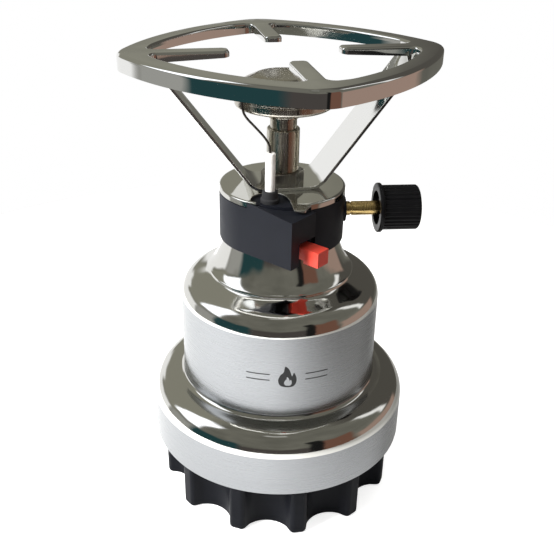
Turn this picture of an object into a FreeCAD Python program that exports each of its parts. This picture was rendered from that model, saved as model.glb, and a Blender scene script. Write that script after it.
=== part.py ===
# Small camping stove that screws down onto a pierceable gas cartridge and has a push-button igniter.
# Millimetres, +Z up. The origin is the centre of the base's underside. The knob's axis runs along +X.
import FreeCAD, Part
import math
import os

from FreeCAD import Vector

# ---- gas cartridge ----
cartridge_radius = 45.0
cartridge_height = 94.0
cartridge_wall = 0.6
cartridge_dome_height = 14.0
cartridge_top_radius = 11.0
cartridge_base_recess = 3.0
pierced_hole_radius = 1.7

# ---- screw base ----
base_floor = 4.0
base_height = 29.5
base_tip_inset = 4.3
base_lobes = 12
base_scallop_radius = 12.6
base_scallop_offset = 3.6
base_tip_rounding = 2.4
base_edge_rounding = 1.6
base_turn = 5.1
base_pocket_gap = 0.7
base_wall = 3.0
thread_pitch = 4.0
thread_turns = 3.5
thread_depth = 2.2
thread_thickness = 1.5
thread_start = 6.0
thread_gap = 0.9
base_wall_rise = 3.6
lug_count = 3
lug_width = 9.0
lug_reach = 2.4
lug_turn = 30.0

# ---- pressed steel shell ----
sheet = 0.8
seam_gap = 0.3
ring_wall_height = 20.4
ring_shoulder = 11.0
ledge_flat = 1.7
cove_radius = 2.5
cartridge_clearance = 1.7
shell_headroom = 6.0
cylinder_shoulder = 10.0
shoulder_sweep = 72.0
neck_foot_inset = 13.1
neck_foot_rise = 13.3
neck_flare_inset = 2.2
neck_flare_rise = 2.7
neck_height = 16.7
neck_top_inset = 2.2

# ---- valve ----
valve_axis_rise = 11.4
valve_foot_radius = 14.0
valve_foot_thickness = 5.0
valve_column_radius = 9.0
valve_waist_radius = 10.8
valve_collar_radius = 15.0
valve_collar_thickness = 3.0
valve_arm_radius = 5.4
valve_arm_end = 19.0
valve_spigot_radius = 5.8
seal_gap = 0.2
gasket_radius = 9.0
gasket_bore = 2.6
gasket_thickness = 2.6
needle_radius = 1.15
needle_bore = 0.5
needle_reach = 6.0
gland_length = 6.4
gland_flats = 11.0
spindle_radius = 3.3
spindle_groove = 0.45
running_gap = 0.05
jet_radius = 2.6
jet_length = 7.0
jet_orifice = 0.35

# ---- knob ----
knob_gap = 15.0
knob_flange_radius = 11.6
knob_flange_length = 2.0
knob_radius = 10.5
knob_length = 19.4
knob_recess_radius = 7.9
knob_recess_depth = 11.0
knob_hub_radius = 5.4
knob_flutes = 30
knob_flute_radius = 0.65
knob_end_rounding = 1.2
insert_radius = 4.4

# ---- igniter housing and cap ----
housing_radius = 28.8
housing_wall = 2.0
housing_foot = 4.6
housing_height = 25.0
cap_sheet = 1.2
cap_skirt = 2.8
cap_rim_rounding = 0.9
box_slope_drop = 3.2
window_reach = 1.93
window_width = 11.0
window_height = 10.5
stem_boss_radius = 6.0
stem_boss_height = 0.7
stem_hole_radius = 4.0
notch_radius = 8.1
tongue_root_x = (0.6, 10.0)
tongue_tip_x = (1.6, 6.7)
tongue_overhang = 3.6
tongue_drop = 1.0

# ---- piezo igniter ----
piezo_width = 9.5
piezo_height = 9.8
piezo_front_inset = 5.0
piezo_back = 12.2
piezo_side_inset = 6.9
piezo_gap = 0.2
piezo_wall = 1.2
button_width = 7.4
button_height = 7.0
button_inset = 1.9
button_proud = 7.7
button_travel = 4.5
button_gap = 0.15
lead_radius = 0.9
ceramic_x = -7.5
ceramic_inset = 8.0
ceramic_radius = 2.2
ceramic_sunk = 8.5
ceramic_rise = 21.0
grommet_radius = 4.1
grommet_rise = 4.2
wire_radius = 0.5

# ---- support strip, clamp nut and pot support ----
support_turn = 6.0
strip_width = 24.0
strip_thickness = 1.4
strip_flat = 14.5
strip_shoulder = 7.4
strip_foot_width = 17.0
strip_foot_overhang = 3.7
strip_corner = 9.0
nut_flats = 17.0
nut_height = 5.0
support_clearance = 10.9
support_depth = 7.1
support_sheet = 1.5
support_side = 61.3
support_side_arc = 126.0
support_corner = 16.2
rim_width = 9.0
inner_corner = 30.0
prong_width = 8.0
prong_tip = 24.0
prong_root_rounding = 5.0
prong_flange_root = 5.0
prong_flange_tip = 2.4
inner_lip = 2.0

# ---- burner ----
sleeve_radius = 7.33
sleeve_length = 19.3
air_hole_radius = 2.2
air_hole_rise = 8.1
tube_radius = 5.95
tube_wall = 0.8
tube_overlap = 8.0
tube_length = 5.8
bowl_neck = 1.0
bowl_radius = 21.7
bowl_height = 4.5
bowl_lip_height = 3.5
burner_sheet = 0.8
burner_cone_inset = 3.3
burner_cone_height = 6.8
burner_crown_height = 3.0
burner_crown_rise = 0.4
burner_crown_inset = 6.4
port_count = 30
port_radius = 0.8
screen_thickness = 0.5

# ---- worked out from the sizes above ----
base_pocket_radius = cartridge_radius + base_pocket_gap
cylinder_radius = cartridge_radius + cartridge_clearance + sheet
ring_radius = cylinder_radius + cove_radius + ledge_flat + ring_shoulder
base_tip_radius = ring_radius - base_tip_inset
base_scallop_centre = base_tip_radius + base_scallop_offset
base_wall_height = ring_wall_height + base_wall_rise
ring_bottom = base_height + seam_gap
ring_inner_radius = ring_radius - sheet
ring_wall_top = ring_bottom + ring_wall_height
ledge_height = ring_wall_top + ring_shoulder
thread_outer_radius = ring_inner_radius - thread_gap
base_wall_radius = thread_outer_radius - thread_depth
cartridge_bottom = base_floor
cartridge_top = cartridge_bottom + cartridge_height
cylinder_top = cartridge_top + shell_headroom
neck_foot_radius = cylinder_radius - neck_foot_inset
neck_foot_height = cylinder_top + neck_foot_rise
neck_mid_radius = neck_foot_radius - neck_flare_inset
neck_mid_height = neck_foot_height + neck_flare_rise
neck_top_radius = housing_radius - neck_top_inset
neck_top_height = neck_foot_height + neck_height
valve_foot_bottom = cartridge_top + 1.2
valve_axis_height = neck_top_height + valve_axis_rise
collar_top = neck_top_height - sheet
cap_top = neck_top_height + housing_height
cap_underside = cap_top - cap_sheet
housing_top = cap_underside
drum_top_radius = housing_radius - cap_sheet - seam_gap
housing_shoulder = cap_top - cap_skirt - seam_gap
tongue_reach = housing_radius + tongue_overhang
strip_top = cap_top + strip_thickness
nut_top = strip_top + nut_height
knob_start = housing_radius + stem_boss_height + knob_gap
knob_end = knob_start + knob_length
knob_hub_start = knob_start + 2.0
spindle_end = knob_start + 16.0
piezo_front = housing_radius - piezo_front_inset
piezo_length = piezo_front + piezo_back
piezo_outer_side = housing_radius - piezo_side_inset
box_inner_side = piezo_outer_side - piezo_width - piezo_gap
button_side = piezo_outer_side - button_inset
button_front = housing_radius + button_proud
ceramic_y = ceramic_inset - housing_radius
ceramic_bottom = cap_top - ceramic_sunk
ceramic_top = cap_top + ceramic_rise
ceramic_bore = wire_radius + running_gap
grommet_top = cap_top + grommet_rise
gland_end = valve_arm_end + gland_length
piezo_bottom = neck_top_height
button_bottom = neck_top_height + 0.3
air_hole_height = nut_top + air_hole_rise
sleeve_top = nut_top + sleeve_length
head_bottom = sleeve_top + tube_length
bowl_lip_bottom = head_bottom + bowl_height
bowl_lip_top = bowl_lip_bottom + bowl_lip_height
burner_cone_radius = bowl_radius - burner_cone_inset
burner_cone_top = bowl_lip_top + burner_cone_height
burner_crown_radius = burner_cone_radius - burner_crown_inset
burner_crown_top = burner_cone_top + burner_crown_height
support_top = burner_crown_top + support_clearance
strip_foot_reach = support_side + strip_foot_overhang
up = Vector(0, 0, 1)


def turned(shape, degrees):
    """The shape turned about the stove's upright axis."""
    copy = shape.copy()
    copy.rotate(Vector(0, 0, 0), up, degrees)
    return copy


def upright(radius, low, high, x=0.0, y=0.0):
    return Part.makeCylinder(radius, high - low, Vector(x, y, low))


def along_x(radius, start, end, height=valve_axis_height):
    return Part.makeCylinder(radius, end - start, Vector(start, 0, height), Vector(1, 0, 0))


def ring(outer, inner, low, high):
    return upright(outer, low, high).cut(upright(inner, low - 1, high + 1))


def block(x_low, x_high, y_low, y_high, z_low, z_high):
    return Part.makeBox(x_high - x_low, y_high - y_low, z_high - z_low, Vector(x_low, y_low, z_low))


def hexagon(flats, thickness, origin, axis):
    """A hexagonal prism whose width across flats is given, starting at origin."""
    corner = flats / math.sqrt(3)
    angles = [math.radians(60 * step) for step in range(7)]
    points = [Vector(corner * math.cos(angle), corner * math.sin(angle), 0) for angle in angles]
    prism = Part.Face(Part.makePolygon(points)).extrude(Vector(0, 0, thickness))
    prism.Placement = FreeCAD.Placement(origin, FreeCAD.Rotation(up, axis))
    return prism


def lathe(edges):
    """A closed outline in the XZ plane, turned about the upright axis."""
    face = Part.Face(Part.Wire(Part.__sortEdges__(edges)))
    return face.revolve(Vector(0, 0, 0), up, 360)


def lathe_points(points):
    corners = [Vector(radius, 0, height) for radius, height in points]
    return lathe([Part.LineSegment(a, b).toShape() for a, b in zip(corners, corners[1:] + corners[:1])])


def path_wire(points, bends):
    """Straight runs joined by tangent arcs; bends holds one radius for each inner point."""
    edges = []
    start = points[0]
    for index, radius in enumerate(bends, 1):
        back = (points[index - 1] - points[index]).normalize()
        ahead = (points[index + 1] - points[index]).normalize()
        half = back.getAngle(ahead) / 2
        reach = radius / math.tan(half)
        first = points[index] + back * reach
        last = points[index] + ahead * reach
        inward = (back + ahead).normalize()
        middle = points[index] + inward * (radius / math.sin(half) - radius)
        edges.append(Part.LineSegment(start, first).toShape())
        edges.append(Part.Arc(first, middle, last).toShape())
        start = last
    edges.append(Part.LineSegment(start, points[-1]).toShape())
    return Part.Wire(edges)


def round_rod(points, bends, radius):
    path = path_wire(points, bends)
    heading = (points[1] - points[0]).normalize()
    profile = Part.Wire(Part.makeCircle(radius, points[0], heading))
    return path.makePipeShell([profile], True, False)


# ---------------------------------------------------------------- base and cartridge


def base_outline():
    star = upright(base_tip_radius, 0, base_height)
    for lobe in range(base_lobes):
        angle = math.radians(base_turn + 15 + 360 / base_lobes * lobe - 90)
        x = base_scallop_centre * math.cos(angle)
        y = base_scallop_centre * math.sin(angle)
        star = star.cut(upright(base_scallop_radius, -1, base_height + 1, x, y))
    corners = [edge for edge in star.Edges
               if abs(edge.BoundBox.ZLength - base_height) < 0.01 and edge.BoundBox.XLength < 0.01]
    star = star.makeFillet(base_tip_rounding, corners)
    rim = [edge for edge in star.Edges if edge.BoundBox.ZMax < 0.01]
    return star.makeFillet(base_edge_rounding, rim)


def thread_rib():
    """The raised thread outside the base's wall, a little sunk into the wall."""
    start = base_height + thread_start
    helix = Part.makeHelix(thread_pitch, thread_pitch * thread_turns, base_wall_radius)
    helix.translate(Vector(0, 0, start))
    inner = base_wall_radius - 0.4
    half = thread_thickness / 2
    corners = [Vector(inner, 0, start - half - 0.3), Vector(thread_outer_radius, 0, start - half + 0.2),
               Vector(thread_outer_radius, 0, start + half - 0.2), Vector(inner, 0, start + half + 0.3)]
    profile = Part.makePolygon(corners + corners[:1])
    return Part.Wire(helix).makePipeShell([profile], True, True)


def base_cap():
    star = base_outline()
    wall_top = base_height + base_wall_height
    wall = ring(base_wall_radius, base_wall_radius - base_wall, base_height - 2, wall_top)
    body = star.fuse(wall).cut(upright(base_pocket_radius, base_floor, base_height + 1))
    return body.fuse(thread_rib())


def thread_lugs():
    """Lugs inside the shell's ring that run in the gap between the thread's turns."""
    lugs = []
    for number in range(lug_count):
        turn = lug_turn + 360 / lug_count * number
        centre = base_height + thread_start + thread_pitch * (turn / 360 + 0.5)
        half = thread_thickness / 2
        lug = block(ring_inner_radius - lug_reach, ring_inner_radius + 1, -lug_width / 2, lug_width / 2,
                    centre - half, centre + half)
        lugs.append(turned(lug.common(upright(ring_inner_radius, 0, ledge_height)), turn))
    return Part.makeCompound(lugs)


def cartridge_can():
    shoulder = cartridge_top - cartridge_dome_height
    inner = cartridge_radius - cartridge_wall
    recess_start = cartridge_radius - 8
    outer = [(0, cartridge_bottom + cartridge_base_recess), (recess_start - 4, cartridge_bottom + 2),
             (recess_start, cartridge_bottom), (cartridge_radius - 1, cartridge_bottom),
             (cartridge_radius, cartridge_bottom + 1), (cartridge_radius, shoulder), (inner, shoulder)]
    lining = [(inner, cartridge_bottom + 1 + cartridge_wall),
              (recess_start, cartridge_bottom + cartridge_wall),
              (recess_start - 4, cartridge_bottom + 2 + cartridge_wall),
              (0, cartridge_bottom + cartridge_base_recess + cartridge_wall)]
    return lathe_points(outer + lining)


def dome_edges(radius, crown, shoulder, top):
    """The arc of the cartridge's top, from its shoulder up to the flat crown."""
    start = Vector(radius, 0, shoulder)
    end = Vector(crown, 0, top)
    middle = Vector(radius - (radius - crown) * 0.42, 0, shoulder + (top - shoulder) * 0.72)
    return Part.Arc(start, middle, end).toShape()


def cartridge_dome():
    shoulder = cartridge_top - cartridge_dome_height
    outer = dome_edges(cartridge_radius, cartridge_top_radius, shoulder, cartridge_top)
    inner = dome_edges(cartridge_radius - cartridge_wall, cartridge_top_radius, shoulder,
                       cartridge_top - cartridge_wall)
    corners = [Vector(cartridge_top_radius, 0, cartridge_top),
               Vector(pierced_hole_radius, 0, cartridge_top),
               Vector(pierced_hole_radius, 0, cartridge_top - cartridge_wall),
               Vector(cartridge_top_radius, 0, cartridge_top - cartridge_wall)]
    sides = [Part.LineSegment(a, b).toShape() for a, b in zip(corners, corners[1:])]
    foot = Part.LineSegment(Vector(cartridge_radius, 0, shoulder),
                            Vector(cartridge_radius - cartridge_wall, 0, shoulder)).toShape()
    return lathe([outer, inner, foot] + sides)


# ---------------------------------------------------------------- shell


def arc_about(centre_r, centre_z, radius, start, end):
    """An arc in the XZ plane about a centre, from one angle to another in degrees."""
    spots = [Vector(centre_r + radius * math.cos(math.radians(angle)), 0,
                    centre_z + radius * math.sin(math.radians(angle)))
             for angle in (start, (start + end) / 2, end)]
    return Part.Arc(*spots).toShape(), spots[0], spots[2]


def shell_skin(inset):
    """The shell's outline from ring to neck, moved inwards by inset, as a list of edges."""
    ring_outer = ring_radius - inset
    lower, lower_start, lower_end = arc_about(ring_radius - ring_shoulder, ring_wall_top,
                                              ring_shoulder - inset, 0, 90)
    cove_centre = cylinder_radius + cove_radius
    cove, cove_start, cove_end = arc_about(cove_centre, ledge_height + cove_radius,
                                           cove_radius + inset, 270, 180)
    upper, upper_start, upper_end = arc_about(cylinder_radius - cylinder_shoulder, cylinder_top,
                                              cylinder_shoulder - inset, 0, shoulder_sweep)
    corners = [Vector(neck_foot_radius, 0, neck_foot_height - inset),
               Vector(neck_mid_radius - inset, 0, neck_mid_height - inset),
               Vector(neck_top_radius - inset, 0, neck_top_height - inset)]
    bottom = Vector(ring_outer, 0, ring_bottom)
    runs = [(bottom, lower_start), (lower_end, cove_start), (cove_end, upper_start), (upper_end, corners[0]),
            (corners[0], corners[1]), (corners[1], corners[2])]
    edges = [Part.LineSegment(a, b).toShape() for a, b in runs]
    return edges + [lower, cove, upper], bottom, corners[-1]


def outer_shell():
    outer, outer_bottom, outer_top = shell_skin(0)
    inner, inner_bottom, inner_top = shell_skin(sheet)
    hole = valve_waist_radius + running_gap
    rim = [Vector(hole, 0, neck_top_height), Vector(hole, 0, neck_top_height - sheet)]
    closing = [Part.LineSegment(outer_bottom, inner_bottom).toShape(),
               Part.LineSegment(outer_top, rim[0]).toShape(), Part.LineSegment(rim[0], rim[1]).toShape(),
               Part.LineSegment(rim[1], inner_top).toShape()]
    return lathe(outer + inner + closing)


# ---------------------------------------------------------------- valve


def valve_body():
    foot_top = valve_foot_bottom + valve_foot_thickness
    arm = along_x(valve_arm_radius, 0, valve_arm_end)
    column_top = valve_axis_height + valve_arm_radius + 0.6
    solid = upright(valve_foot_radius, valve_foot_bottom, foot_top)
    for piece in (upright(valve_waist_radius, foot_top, neck_top_height),
                  upright(valve_collar_radius, collar_top - valve_collar_thickness, collar_top),
                  upright(valve_column_radius, neck_top_height, column_top), arm,
                  upright(valve_spigot_radius, column_top, nut_top - 1)):
        solid = solid.fuse(piece)
    bore = spindle_radius + running_gap
    seat = Part.makeCone(needle_radius, bore, 3, Vector(3, 0, valve_axis_height), Vector(1, 0, 0))
    passage_start = Vector(0, 0, valve_foot_bottom + 22)
    passage = Vector(9, 0, valve_axis_height) - passage_start
    cuts = [along_x(bore, 6, valve_arm_end + 1), seat, along_x(0.8, 0, 3.5),
            upright(needle_radius + 0.02, valve_foot_bottom - 1, valve_foot_bottom + 6),
            upright(0.9, valve_foot_bottom + 5, valve_foot_bottom + 23),
            Part.makeCylinder(0.9, passage.Length, passage_start, passage),
            upright(1.0, valve_axis_height, nut_top),
            upright(gasket_radius + 0.1, valve_foot_bottom - 1, cartridge_top + seal_gap + gasket_thickness)]
    for cut in cuts:
        solid = solid.cut(cut)
    return solid


def piercing_needle():
    top = valve_foot_bottom + 6
    tip = cartridge_top - needle_reach
    body = upright(needle_radius, tip, top)
    slant = block(-5, 5, -5, 5, -10, 0)
    slant.rotate(Vector(0, 0, 0), Vector(0, 1, 0), -50)
    slant.translate(Vector(0, 0, tip + needle_radius))
    return body.cut(slant).cut(upright(needle_bore, tip - 1, top + 1))


def cartridge_gasket():
    low = cartridge_top + seal_gap
    return ring(gasket_radius, gasket_bore, low, low + gasket_thickness)


def gas_jet():
    low = nut_top - 1
    base = hexagon(7.0, 3.0, Vector(0, 0, low), up)
    nose = Part.makeCone(jet_radius, jet_radius - 0.8, jet_length - 3, Vector(0, 0, low + 3))
    jet = base.fuse(nose)
    jet = jet.cut(upright(1.0, low - 1, low + jet_length - 1.5))
    return jet.cut(upright(jet_orifice, low - 1, low + jet_length + 1))


def gland_nut():
    nut = hexagon(gland_flats, gland_length, Vector(valve_arm_end, 0, valve_axis_height), Vector(1, 0, 0))
    return nut.cut(along_x(spindle_radius + running_gap, valve_arm_end - 1, gland_end + 1))


def valve_spindle():
    """The stem that the knob turns, with a groove for its seal and one where it leaves the housing."""
    stem = along_x(spindle_radius, 9.0, spindle_end)
    seal = along_x(spindle_radius + 1, 13, 15).cut(along_x(spindle_radius - 1.2, 12, 16))
    mark_start = housing_radius + 3.0
    mark = along_x(spindle_radius + 1, mark_start, mark_start + 0.8)
    mark = mark.cut(along_x(spindle_radius - spindle_groove, mark_start - 1, mark_start + 2))
    return stem.cut(seal).cut(mark).cut(along_x(1.0 + running_gap, 8, 12.2))


def spindle_seal():
    """The rubber ring in the stem's groove."""
    centre = Vector(14, 0, valve_axis_height)
    return Part.makeTorus(spindle_radius - 0.62, 0.56, centre, Vector(1, 0, 0))


def valve_needle():
    """The cone that closes the gas way. It draws out along its axis as the stem unscrews."""
    tip = 4.0
    cone = Part.makeCone(0.5, 2.6, 3.2, Vector(tip, 0, valve_axis_height), Vector(1, 0, 0))
    return cone.fuse(along_x(2.6, tip + 3.2, 8.9)).fuse(along_x(1.0, 8.5, 12.0))


# ---------------------------------------------------------------- knob


def knob():
    body = along_x(knob_radius, knob_start + knob_flange_length, knob_end)
    step = 360 / knob_flutes
    pitch_radius = knob_radius + knob_flute_radius * 0.3
    for flute in range(knob_flutes):
        angle = math.radians(step * flute)
        groove = along_x(knob_flute_radius, knob_start + knob_flange_length - 1, knob_end + 1)
        groove.translate(Vector(0, pitch_radius * math.sin(angle), pitch_radius * math.cos(angle)))
        body = body.cut(groove)
    crown = Part.makeCone(knob_radius + 1, knob_radius - knob_end_rounding, knob_end_rounding + 1,
                          Vector(knob_end - knob_end_rounding - 1, 0, valve_axis_height), Vector(1, 0, 0))
    body = body.common(along_x(knob_radius + 1, knob_start, knob_end - knob_end_rounding - 1).fuse(crown))
    flange = along_x(knob_flange_radius, knob_start, knob_start + knob_flange_length)
    edges = [edge for edge in flange.Edges if edge.BoundBox.XLength < 0.01]
    flange = flange.makeFillet(0.7, edges)
    body = body.fuse(flange)
    recess = along_x(knob_recess_radius, knob_start - 1, knob_start + knob_recess_depth)
    recess = recess.cut(along_x(knob_hub_radius, knob_hub_start, knob_start + knob_recess_depth + 1))
    return body.cut(recess).cut(along_x(insert_radius, knob_start - 2, spindle_end))


def knob_insert():
    """The metal sleeve moulded into the knob's hub, which grips the stem."""
    sleeve = along_x(insert_radius, knob_hub_start, spindle_end)
    return sleeve.cut(along_x(spindle_radius, knob_start, spindle_end + 1))


# ---------------------------------------------------------------- igniter housing and cap


def igniter_frame(shape):
    """Turns a shape made along +X into the push button's direction."""
    return turned(shape, -45)


def box_prism(inset, low, top_inset):
    """The square corner outside the round housing, under its sloping top."""
    inner = -box_inner_side if inset == 0 else -box_inner_side - inset
    corners = [Vector(0, 0, low), Vector(housing_radius - inset, 0, low),
               Vector(housing_radius - inset, 0, cap_top - box_slope_drop - top_inset),
               Vector(0, 0, cap_top - top_inset)]
    side = Part.Face(Part.makePolygon(corners + corners[:1]))
    side.translate(Vector(0, -housing_radius + inset, 0))
    return side.extrude(Vector(0, inner + housing_radius - inset, 0))


def igniter_housing():
    drum = upright(drum_top_radius, neck_top_height, housing_top)
    drum = drum.fuse(upright(housing_radius, neck_top_height, housing_shoulder))
    corner = igniter_frame(box_prism(0, neck_top_height, 0))
    corner = corner.cut(upright(housing_radius + seam_gap, housing_shoulder, cap_top + 1))
    body = drum.fuse(corner)
    below = neck_top_height - 1
    hollow = upright(drum_top_radius - housing_wall, below, housing_top - housing_wall)
    hollow = hollow.fuse(upright(housing_radius - housing_wall, below, housing_shoulder - 2 * housing_wall))
    body = body.cut(hollow).cut(igniter_frame(box_prism(housing_wall, below, housing_wall + 0.5)))
    foot = ring(housing_radius - 0.5, housing_radius - housing_foot, neck_top_height, neck_top_height + 1.4)
    piezo_space = block(piezo_front - piezo_length - 0.3, housing_radius + 5, -piezo_outer_side - 0.3,
                        piezo_width - piezo_outer_side + 0.3, neck_top_height - 1, neck_top_height + 3)
    body = body.fuse(foot.cut(igniter_frame(piezo_space)))
    side = -box_inner_side
    inner_radius = housing_radius - housing_wall
    wall_start = math.sqrt(inner_radius ** 2 - (box_inner_side + housing_wall) ** 2)
    window = block(wall_start - window_reach, housing_radius + 5, side - window_width, side,
                   neck_top_height - 1, neck_top_height + window_height)
    boss = along_x(stem_boss_radius, housing_radius - 1.5, housing_radius + stem_boss_height)
    body = body.cut(igniter_frame(window)).fuse(boss)
    rib_top = housing_top - housing_wall + 0.5
    for low, high in ((-box_inner_side + 0.1, -box_inner_side + 1.3),
                      (-piezo_outer_side - 1.4, -piezo_outer_side - 0.2)):
        rib = block(-6, 16, low, high, neck_top_height + 3, rib_top)
        body = body.fuse(igniter_frame(rib))
    body = body.cut(along_x(stem_hole_radius, housing_radius - 5, housing_radius + 5))
    body = body.cut(upright(valve_spigot_radius + 0.2, housing_top - 5, cap_top + 1))
    hole = upright(ceramic_radius + running_gap, housing_top - 12, cap_top + 1, ceramic_x, ceramic_y)
    return body.cut(hole)


def cap_tongue():
    """The tab of the cap that reaches forwards over the square corner."""
    left, right = tongue_root_x
    bend_y = -drum_top_radius
    flat = block(left, right, bend_y, bend_y + 4, cap_underside, cap_top)
    tip = [Vector(tongue_tip_x[1], -tongue_reach, cap_top), Vector(tongue_tip_x[0], -tongue_reach, cap_top)]
    slope = [Vector(left, bend_y, cap_top), Vector(right, bend_y, cap_top)] + tip
    plate = Part.Face(Part.makePolygon(slope + slope[:1])).extrude(Vector(0, 0, -cap_sheet))
    plate.rotate(Vector(0, bend_y, cap_top), Vector(1, 0, 0),
                 math.degrees(math.atan(tongue_drop / (tongue_reach + bend_y))))
    return plate.fuse(flat)


def cap_plate():
    disc = upright(housing_radius, cap_top - cap_skirt, cap_top)
    top_edge = [edge for edge in disc.Edges if edge.BoundBox.ZMin > cap_top - 0.01]
    disc = disc.makeFillet(cap_rim_rounding, top_edge)
    disc = disc.cut(upright(housing_radius - cap_sheet, cap_top - cap_skirt - 1, cap_underside))
    notch = upright(notch_radius, cap_top - 5, cap_top + 1, ceramic_x, ceramic_y)
    skirt_gap = block(-30, 30, -40, -15, cap_top - 5, cap_underside)
    wedge = [Vector(0, 0, cap_top - 5), Vector(-24, -45, cap_top - 5), Vector(17, -45, cap_top - 5)]
    front = Part.Face(Part.makePolygon(wedge + wedge[:1])).extrude(Vector(0, 0, 8))
    mouth = block(ceramic_x - 4, tongue_root_x[0], -40, ceramic_y, cap_top - 5, cap_top + 1)
    disc = disc.cut(notch).cut(mouth).cut(front.common(skirt_gap))
    disc = disc.fuse(cap_tongue().cut(notch)).removeSplitter()
    return disc.cut(upright(valve_spigot_radius + 0.2, cap_top - 5, cap_top + 1))


def piezo_body():
    low = -piezo_outer_side
    body = block(piezo_front - piezo_length, piezo_front, low, low + piezo_width,
                 piezo_bottom, piezo_bottom + piezo_height)
    sleeve_low = -button_side - button_gap
    well = block(piezo_front - button_travel - 14, piezo_front + 1, sleeve_low,
                 sleeve_low + button_width + 2 * button_gap,
                 button_bottom + piezo_wall, button_bottom + button_height + button_gap)
    return igniter_frame(body.cut(well))


def ignition_button():
    """The push button: its head stands out of the housing and its tail runs inside the piezo unit."""
    low = -button_side
    head = block(piezo_front + button_travel + 0.4, button_front, low, low + button_width,
                 button_bottom, button_bottom + button_height)
    edges = [edge for edge in head.Edges if edge.BoundBox.XMin > button_front - 0.01]
    head = head.makeFillet(0.5, edges)
    tail = block(piezo_front - 8, piezo_front + button_travel + 1, low, low + button_width,
                 button_bottom + piezo_wall + button_gap, button_bottom + button_height)
    return igniter_frame(head.fuse(tail))


def igniter_point(x, y, z):
    return FreeCAD.Rotation(up, -45).multVec(Vector(x, y, z))


def high_voltage_lead():
    """The insulated lead from the back of the piezo unit over its top to the foot of the ceramic."""
    back = piezo_front - piezo_length
    middle = -piezo_outer_side + piezo_width / 2
    height = piezo_bottom + piezo_height / 2
    over = piezo_bottom + piezo_height + 2.2
    foot = FreeCAD.Rotation(up, 45).multVec(Vector(ceramic_x, ceramic_y, 0))
    route = [igniter_point(back, middle, height), igniter_point(back - 5, middle, height),
             igniter_point(back - 5, middle, over), igniter_point(back + 6, middle - 1, over),
             igniter_point(foot.x, foot.y, over), Vector(ceramic_x, ceramic_y, ceramic_bottom)]
    return round_rod(route, [3.0, 3.0, 20.0, 2.4], lead_radius)


def electrode_grommet():
    low = housing_top
    cup = upright(grommet_radius, low, grommet_top, ceramic_x, ceramic_y)
    top_edge = [edge for edge in cup.Edges if edge.BoundBox.ZMin > grommet_top - 0.01]
    cup = cup.makeFillet(0.6, top_edge)
    return cup.cut(upright(ceramic_radius + running_gap, low - 1, grommet_top + 1, ceramic_x, ceramic_y))


def ceramic_insulator():
    tube = upright(ceramic_radius, ceramic_bottom, ceramic_top, ceramic_x, ceramic_y)
    return tube.cut(upright(ceramic_bore, ceramic_bottom + 3, ceramic_top + 1, ceramic_x, ceramic_y))


def spark_electrode():
    """The stiff wire out of the ceramic: it bows to the left and ends under the burner's rim."""
    route = [Vector(ceramic_x, ceramic_y, ceramic_bottom + 3),
             Vector(ceramic_x, ceramic_y, ceramic_top + 0.8),
             Vector(ceramic_x - 2.6, ceramic_y + 1.0, ceramic_top + 6.6),
             Vector(ceramic_x - 10.9, ceramic_y + 1.8, ceramic_top + 15.4),
             Vector(ceramic_x - 12.0, ceramic_y + 2.0, ceramic_top + 23.0)]
    return round_rod(route, [6.0, 8.0, 9.0], wire_radius)


# ---------------------------------------------------------------- support and clamp


def clamp_nut():
    nut = hexagon(nut_flats, nut_height, Vector(0, 0, strip_top), up)
    round_off = Part.makeCone(nut_flats / 2 + nut_height, nut_flats / 2 - 0.2, nut_height + 0.2,
                              Vector(0, 0, strip_top - 0.2))
    nut = nut.common(round_off)
    return nut.cut(upright(valve_spigot_radius + 0.02, strip_top - 1, nut_top + 1))


def strip_leg():
    """One leg of the V, along +X: flat under the nut, up the slope, and a short flat foot."""
    mid_low = cap_top + strip_thickness / 2
    mid_high = support_top - support_sheet - strip_thickness / 2
    shoulder = strip_foot_reach - strip_shoulder
    path = [Vector(-1, 0, mid_low), Vector(strip_flat, 0, mid_low),
            Vector(shoulder, 0, mid_high), Vector(strip_foot_reach, 0, mid_high)]
    wire = path_wire(path, [strip_corner, strip_thickness])
    half = strip_thickness / 2
    corners = [Vector(-1, -strip_width / 2, mid_low - half), Vector(-1, strip_width / 2, mid_low - half),
               Vector(-1, strip_width / 2, mid_low + half), Vector(-1, -strip_width / 2, mid_low + half)]
    profile = Part.makePolygon(corners + corners[:1])
    leg = wire.makePipeShell([profile], True, False)
    foot_start = shoulder - 4
    for side in (-1, 1):
        trim = block(foot_start, strip_foot_reach + 5, strip_foot_width / 2, strip_width, mid_high - 6,
                     support_top)
        if side < 0:
            trim = trim.mirror(Vector(0, 0, 0), Vector(0, 1, 0))
        leg = leg.cut(trim)
    return leg.cut(block(-2, 0, -strip_width, strip_width, mid_low - 5, mid_low + 5))


def support_strip():
    leg = strip_leg()
    strip = leg.fuse(turned(leg, 180)).removeSplitter()
    strip = strip.cut(upright(valve_spigot_radius + 0.2, cap_top - 1, strip_top + 1))
    return turned(strip, support_turn)


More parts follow.
